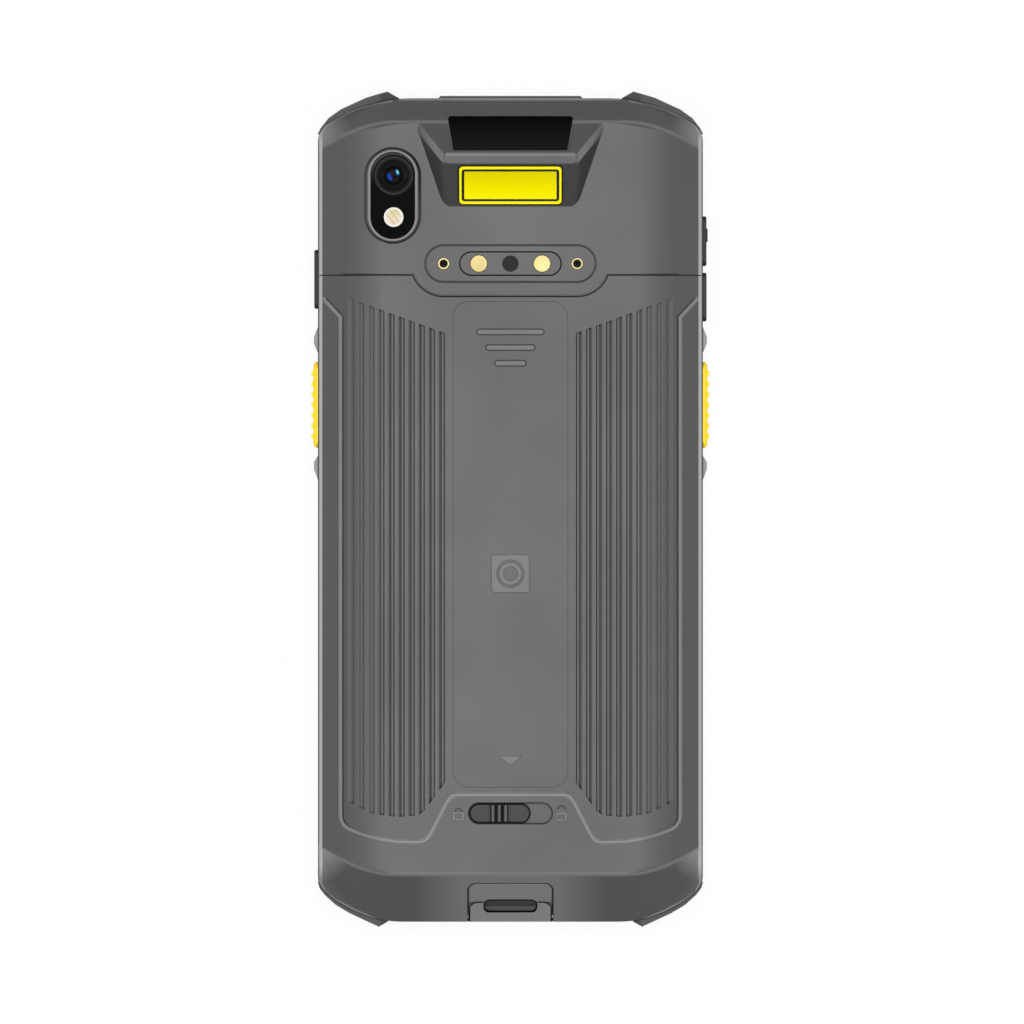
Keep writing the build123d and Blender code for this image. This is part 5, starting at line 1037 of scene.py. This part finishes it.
class TERMINAL_OT_contact_faces(Operator):
    """Builds the dished gold faces, the plug's rim and the insert threads in the dock capsule"""
    bl_idname = "terminal.contact_faces"
    bl_label = "Contact faces"

    def execute(self, context):
        f = context.scene.terminal_finish
        _, _, half_width, half_depth = pill("charging_contacts")
        reach, spread = half_depth / MM, half_width - half_depth
        dish = [(reach - 0.02, -0.06), (reach - 0.06, 0.03), (reach - 0.22, 0.05), (reach - 0.36, 0.02),
                (0.6, 0.01), (0.0, 0.01)]
        face = lathe("contact_face_left", (-spread, CAPSULE_Y), top_of("charging_contacts"), dish)
        gold = metal("contact_face_gold", scaled(f.gold, 0.82), rough=0.58, scale=200.0)
        settle_row(face, ["contact_face_right"], 2 * spread, gold, smooth=0.7)
        reach = pill("carrier_plug")[2] / MM
        rim = [(reach - 0.01, -0.04), (reach - 0.05, 0.06), (reach - 0.3, 0.06), (reach - 0.36, 0.01)]
        settle(lathe("plug_rim", (0, CAPSULE_Y), top_of("carrier_plug"), rim),
               moulded("plug_rim_rubber", scaled(f.black, 1.1), rough=0.55, specular=0.15))
        turns = [(radius, depth - 0.35 * turn) for turn in range(7)
                 for radius, depth in ((0.79, -0.1), (0.68, -0.27))]
        left, right = INSERTS[0][0] + INSERT_RADIUS, INSERTS[1][0] - INSERT_RADIUS
        thread = lathe("insert_thread_left", (left, CAPSULE_Y), top_of("threaded_inserts"), turns, 32)
        # The threads are brass darkened to near black: painted shade inside the insert holes.
        settle_row(thread, ["insert_thread_right"], right - left,
                   metal("thread_brass_painted_dark", scaled(f.gold, 0.12), rough=0.5), smooth=0.3)
        return {"FINISHED"}


class TERMINAL_OT_earpiece_grille(Operator):
    """Builds the perforated earpiece grille in the front glass"""
    bl_idname = "terminal.earpiece_grille"
    bl_label = "Earpiece grille"

    def execute(self, context):
        pitch = context.scene.terminal_detail.mesh_pitch
        x, y, half_width, half_depth = pill("earpiece_mesh")
        width, depth = 2 * half_width - 0.02 * MM, 2 * half_depth - 0.02 * MM
        deselect()
        bpy.ops.mesh.primitive_grid_add(x_subdivisions=round(width / pitch), size=1,
                                        y_subdivisions=round(depth / pitch), enter_editmode=True)
        grille = named("earpiece_grille")
        bpy.ops.transform.resize(value=(width, depth, 1))
        bpy.ops.mesh.inset(thickness=pitch * 0.2, use_individual=True)
        bpy.ops.mesh.delete(type="FACE")
        thicken(0.2 * MM)
        settle(grille, metal("grille_steel", tint(52, 52, 55), rough=0.45), smooth=0.4,
               location=(x, y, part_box("earpiece_mesh")[0][2] + 0.02 * MM))
        return {"FINISHED"}


class TERMINAL_OT_front_lenses(Operator):
    """Builds the rings of the front camera and the status light behind the front glass"""
    bl_idname = "terminal.front_lenses"
    bl_label = "Front lenses"

    def execute(self, context):
        f = context.scene.terminal_finish
        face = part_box("touch_glass")[0][2] / MM
        black = gloss("front_ring_lacquer", tint(30, 31, 34), rough=0.2, coat=0.0, specular=0.3)
        for node, name, outer in (("front_camera", "front_camera_ring", 1.85),
                                  ("status_led", "led_ring", 0.9)):
            ring = [(outer, 0.02), (outer, -0.012), (outer - 0.08, -0.02), (outer - 0.26, -0.02),
                    (outer - 0.34, -0.008), (outer - 0.34, 0.02)]
            settle(lathe(name, middle(node)[:2], face, ring), black)
        dome = [(1.0, 0.02), (0.96, -0.01), (0.6, -0.03), (0.0, -0.035)]
        settle(lathe("front_camera_lens", middle("front_camera")[:2], face, dome),
               gloss("front_lens_glass", scaled(f.coating, 0.35), coat=0.3, specular=0.4))
        return {"FINISHED"}


class TERMINAL_OT_battery_details(Operator):
    """Builds the battery's plain label, its pull tab and the antenna's copper turns"""
    bl_idname = "terminal.battery_details"
    bl_label = "Battery details"

    def execute(self, context):
        low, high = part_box("battery_pack")
        y, top = (low[1] + high[1]) / 2, high[2]
        film = moulded("label_paper", tint(206, 206, 200), grain=0.1 * MM, bump=0.05, wear_and_highlight=0.0, drift=0.02)
        settle(plate("battery_label", 44, 60, 2, 0.06), film, location=(0, y + 4 * MM, top - 0.01 * MM))
        ink = moulded("label_line_ink", tint(70, 72, 76), grain=0.1 * MM, bump=0.02, wear_and_highlight=0.0)
        for name, width, depth, shift in (("frame", 41, 57, 4), ("panel", 35, 16, 20)):
            settle(plate("battery_label_" + name, width, depth, 1.5, 0.02, 0.35), ink,
                   location=(0, y + shift * MM, top + 0.045 * MM))
        ribbon = moulded("pull_tab_film", tint(40, 42, 46), rough=0.35, grain=0.2 * MM, wear_and_highlight=0.1)
        settle(plate("battery_pull_tab", 12, 16, 3, 0.15), ribbon,
               location=(17 * MM, low[1] + 5 * MM, top - 0.02 * MM))
        _, y, half_width, half_depth = pill("nfc_antenna")
        copper = metal("antenna_copper", tint(196, 120, 70), rough=0.35)
        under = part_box("nfc_antenna")[0][2] - 0.05 * MM
        for turn in range(5):
            shrink = 1.6 + turn * 1.5
            loop = plate("antenna_turn_%d" % (turn + 1), 2 * (half_width / MM - shrink),
                         2 * (half_depth / MM - shrink), 2.5 - turn * 0.3, 0.05, 0.7)
            settle(loop, copper, body="battery_cover", location=(0, y, under))
        return {"FINISHED"}


class TERMINAL_OT_port_tongue(Operator):
    """Builds the tongue and contacts inside the charging port"""
    bl_idname = "terminal.port_tongue"
    bl_label = "Port tongue"

    def execute(self, context):
        mouth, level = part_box("usb_c_receptacle")[0][1], middle("usb_c_receptacle")[2]
        plastic = moulded("tongue_plastic", tint(24, 24, 26), rough=0.45, grain=0.12 * MM, wear_and_highlight=0.1)
        settle(plate("port_tongue", 6.6, 4.6, 0.5, 0.66), plastic,
               location=(0, mouth + 3.3 * MM, level - 0.33 * MM))
        count, pitch = 12, 0.5 * MM
        strip = plate("tongue_contact_1", 0.26, 3.2, 0.1, 0.03, segments=2)
        strip.location = ((1 - count) / 2 * pitch, mouth + 2.7 * MM, level + 0.32 * MM)
        settle_row(strip, ["tongue_contact_%d" % number for number in range(2, count + 1)], pitch,
                   metal("tongue_gold", tint(220, 190, 110)))
        return {"FINISHED"}


# ---- studio
def seen_directly(g):
    """1 where the stage is seen by the camera, in a gloss or through a clear piece."""
    path = g.node("LightPath").outputs
    return g.most(*[path["Is %s Ray" % kind] for kind in ("Camera", "Glossy", "Transmission")])


def white(g, kind, strength=1.0):
    return g.node(kind, {"Color": (1, 1, 1, 1), "Strength": strength}).outputs[0]


def placed(name, data, place):
    """New lamp or camera; its place is in metres."""
    made = bpy.data.objects.new(name, data)
    bpy.context.scene.collection.objects.link(made)
    made.location = place
    return made


class TERMINAL_OT_studio(Operator):
    """Builds the pale floor, the lamps, the world and the camera"""
    bl_idname = "terminal.studio"
    bl_label = "Studio"

    def execute(self, context):
        s = context.scene.terminal_studio
        self.floor(s)
        self.world(s)
        for side, end, hand in ((-1, "low", "left"), (1, "top", "right")):
            self.lamp("key_lamp_" + end, s.key, (0, side * 0.31, 2.2), (0.9, 0.44))
            self.lamp("rim_lamp_" + hand, s.rim, (side * 1.2, 0, 0.3), (0.3, 1.6))
        self.camera(s)
        context.scene.view_settings.view_transform = "Standard"
        return {"FINISHED"}

    def floor(self, s):
        """Just under the terminal; it is clear from below, so the screen side can be looked at."""
        deselect()
        bpy.ops.mesh.primitive_plane_add(size=8.0, location=(0, 0, CAD_BOX[0][2] - 0.2 * MM))
        floor = named("studio_floor")
        bpy.ops.object.transform_apply(location=True, rotation=True, scale=True)
        material = bpy.data.materials.new("pale_floor")
        g = cleared(material)
        matt = g.node("BsdfDiffuse", {"Color": s.floor}).outputs[0]
        mixed = g.node("MixShader", {0: g.times(seen_directly(g), 0.93), 1: matt, 2: white(g, "Emission")})
        clear = g.node("BsdfTransparent").outputs[0]
        below = g.node("NewGeometry").outputs["Backfacing"]
        surface = g.node("MixShader", {0: below, 1: mixed.outputs[0], 2: clear}).outputs[0]
        g.node("OutputMaterial", {"Surface": surface})
        floor.data.materials.append(material)

    def world(self, s):
        """White to look at, with a weak even light."""
        bpy.context.scene.world = bpy.data.worlds.new("studio_world")
        g = cleared(bpy.context.scene.world)
        mixed = g.node("MixShader", {0: seen_directly(g), 1: white(g, "Background", s.fill),
                                     2: white(g, "Background")}).outputs[0]
        g.node("OutputWorld", {"Surface": mixed})

    def lamp(self, name, power, place, size):
        """Soft lamp that faces the terminal."""
        data = bpy.data.lights.new(name, "AREA")
        data.shape = "RECTANGLE"
        data.size, data.size_y = size
        data.energy = power
        towards = (-Vector(place)).to_track_quat("-Z", "Y")
        placed(name, data, place).rotation_euler = towards.to_euler()

    def camera(self, s):
        """Looks straight down at the back from far away."""
        data = bpy.data.cameras.new("camera")
        data.lens = s.lens
        data.sensor_width = 36.0
        distance = s.view_width * s.lens / data.sensor_width
        data.clip_start, data.clip_end = 0.1, distance * 3
        place = (0.31 * MM, -0.55 * MM, distance + 8 * MM)
        bpy.context.scene.camera = placed("camera", data, place)


# ---- add-on
OPERATORS = (TERMINAL_OT_housing, TERMINAL_OT_rubber, TERMINAL_OT_keys, TERMINAL_OT_glazing,
             TERMINAL_OT_metals, TERMINAL_OT_electronics, TERMINAL_OT_sticker,
             TERMINAL_OT_camera_parts, TERMINAL_OT_flash_rings, TERMINAL_OT_contact_faces,
             TERMINAL_OT_earpiece_grille, TERMINAL_OT_front_lenses, TERMINAL_OT_battery_details,
             TERMINAL_OT_port_tongue, TERMINAL_OT_studio)
SETTINGS = {"terminal_finish": TerminalFinish, "terminal_detail": TerminalDetail,
            "terminal_studio": TerminalStudio}


class TERMINAL_PT_panel(Panel):
    """Lists the terminal's steps"""
    bl_idname = "TERMINAL_PT_panel"
    bl_label = "Handheld Terminal"
    bl_space_type = "VIEW_3D"
    bl_region_type = "UI"
    bl_category = "Terminal"

    def draw(self, context):
        for operator in OPERATORS:
            self.layout.operator(operator.bl_idname)


CLASSES = (*SETTINGS.values(), *OPERATORS, TERMINAL_PT_panel)


def register():
    for item in CLASSES:
        bpy.utils.register_class(item)
    for name, group in SETTINGS.items():
        setattr(bpy.types.Scene, name, PointerProperty(type=group))


def unregister():
    for name in SETTINGS:
        delattr(bpy.types.Scene, name)
    for item in reversed(CLASSES):
        bpy.utils.unregister_class(item)


def main():
    register()
    for operator in OPERATORS:
        group, name = operator.bl_idname.split(".")
        getattr(getattr(bpy.ops, group), name)()


if __name__ == "__main__":
    main()
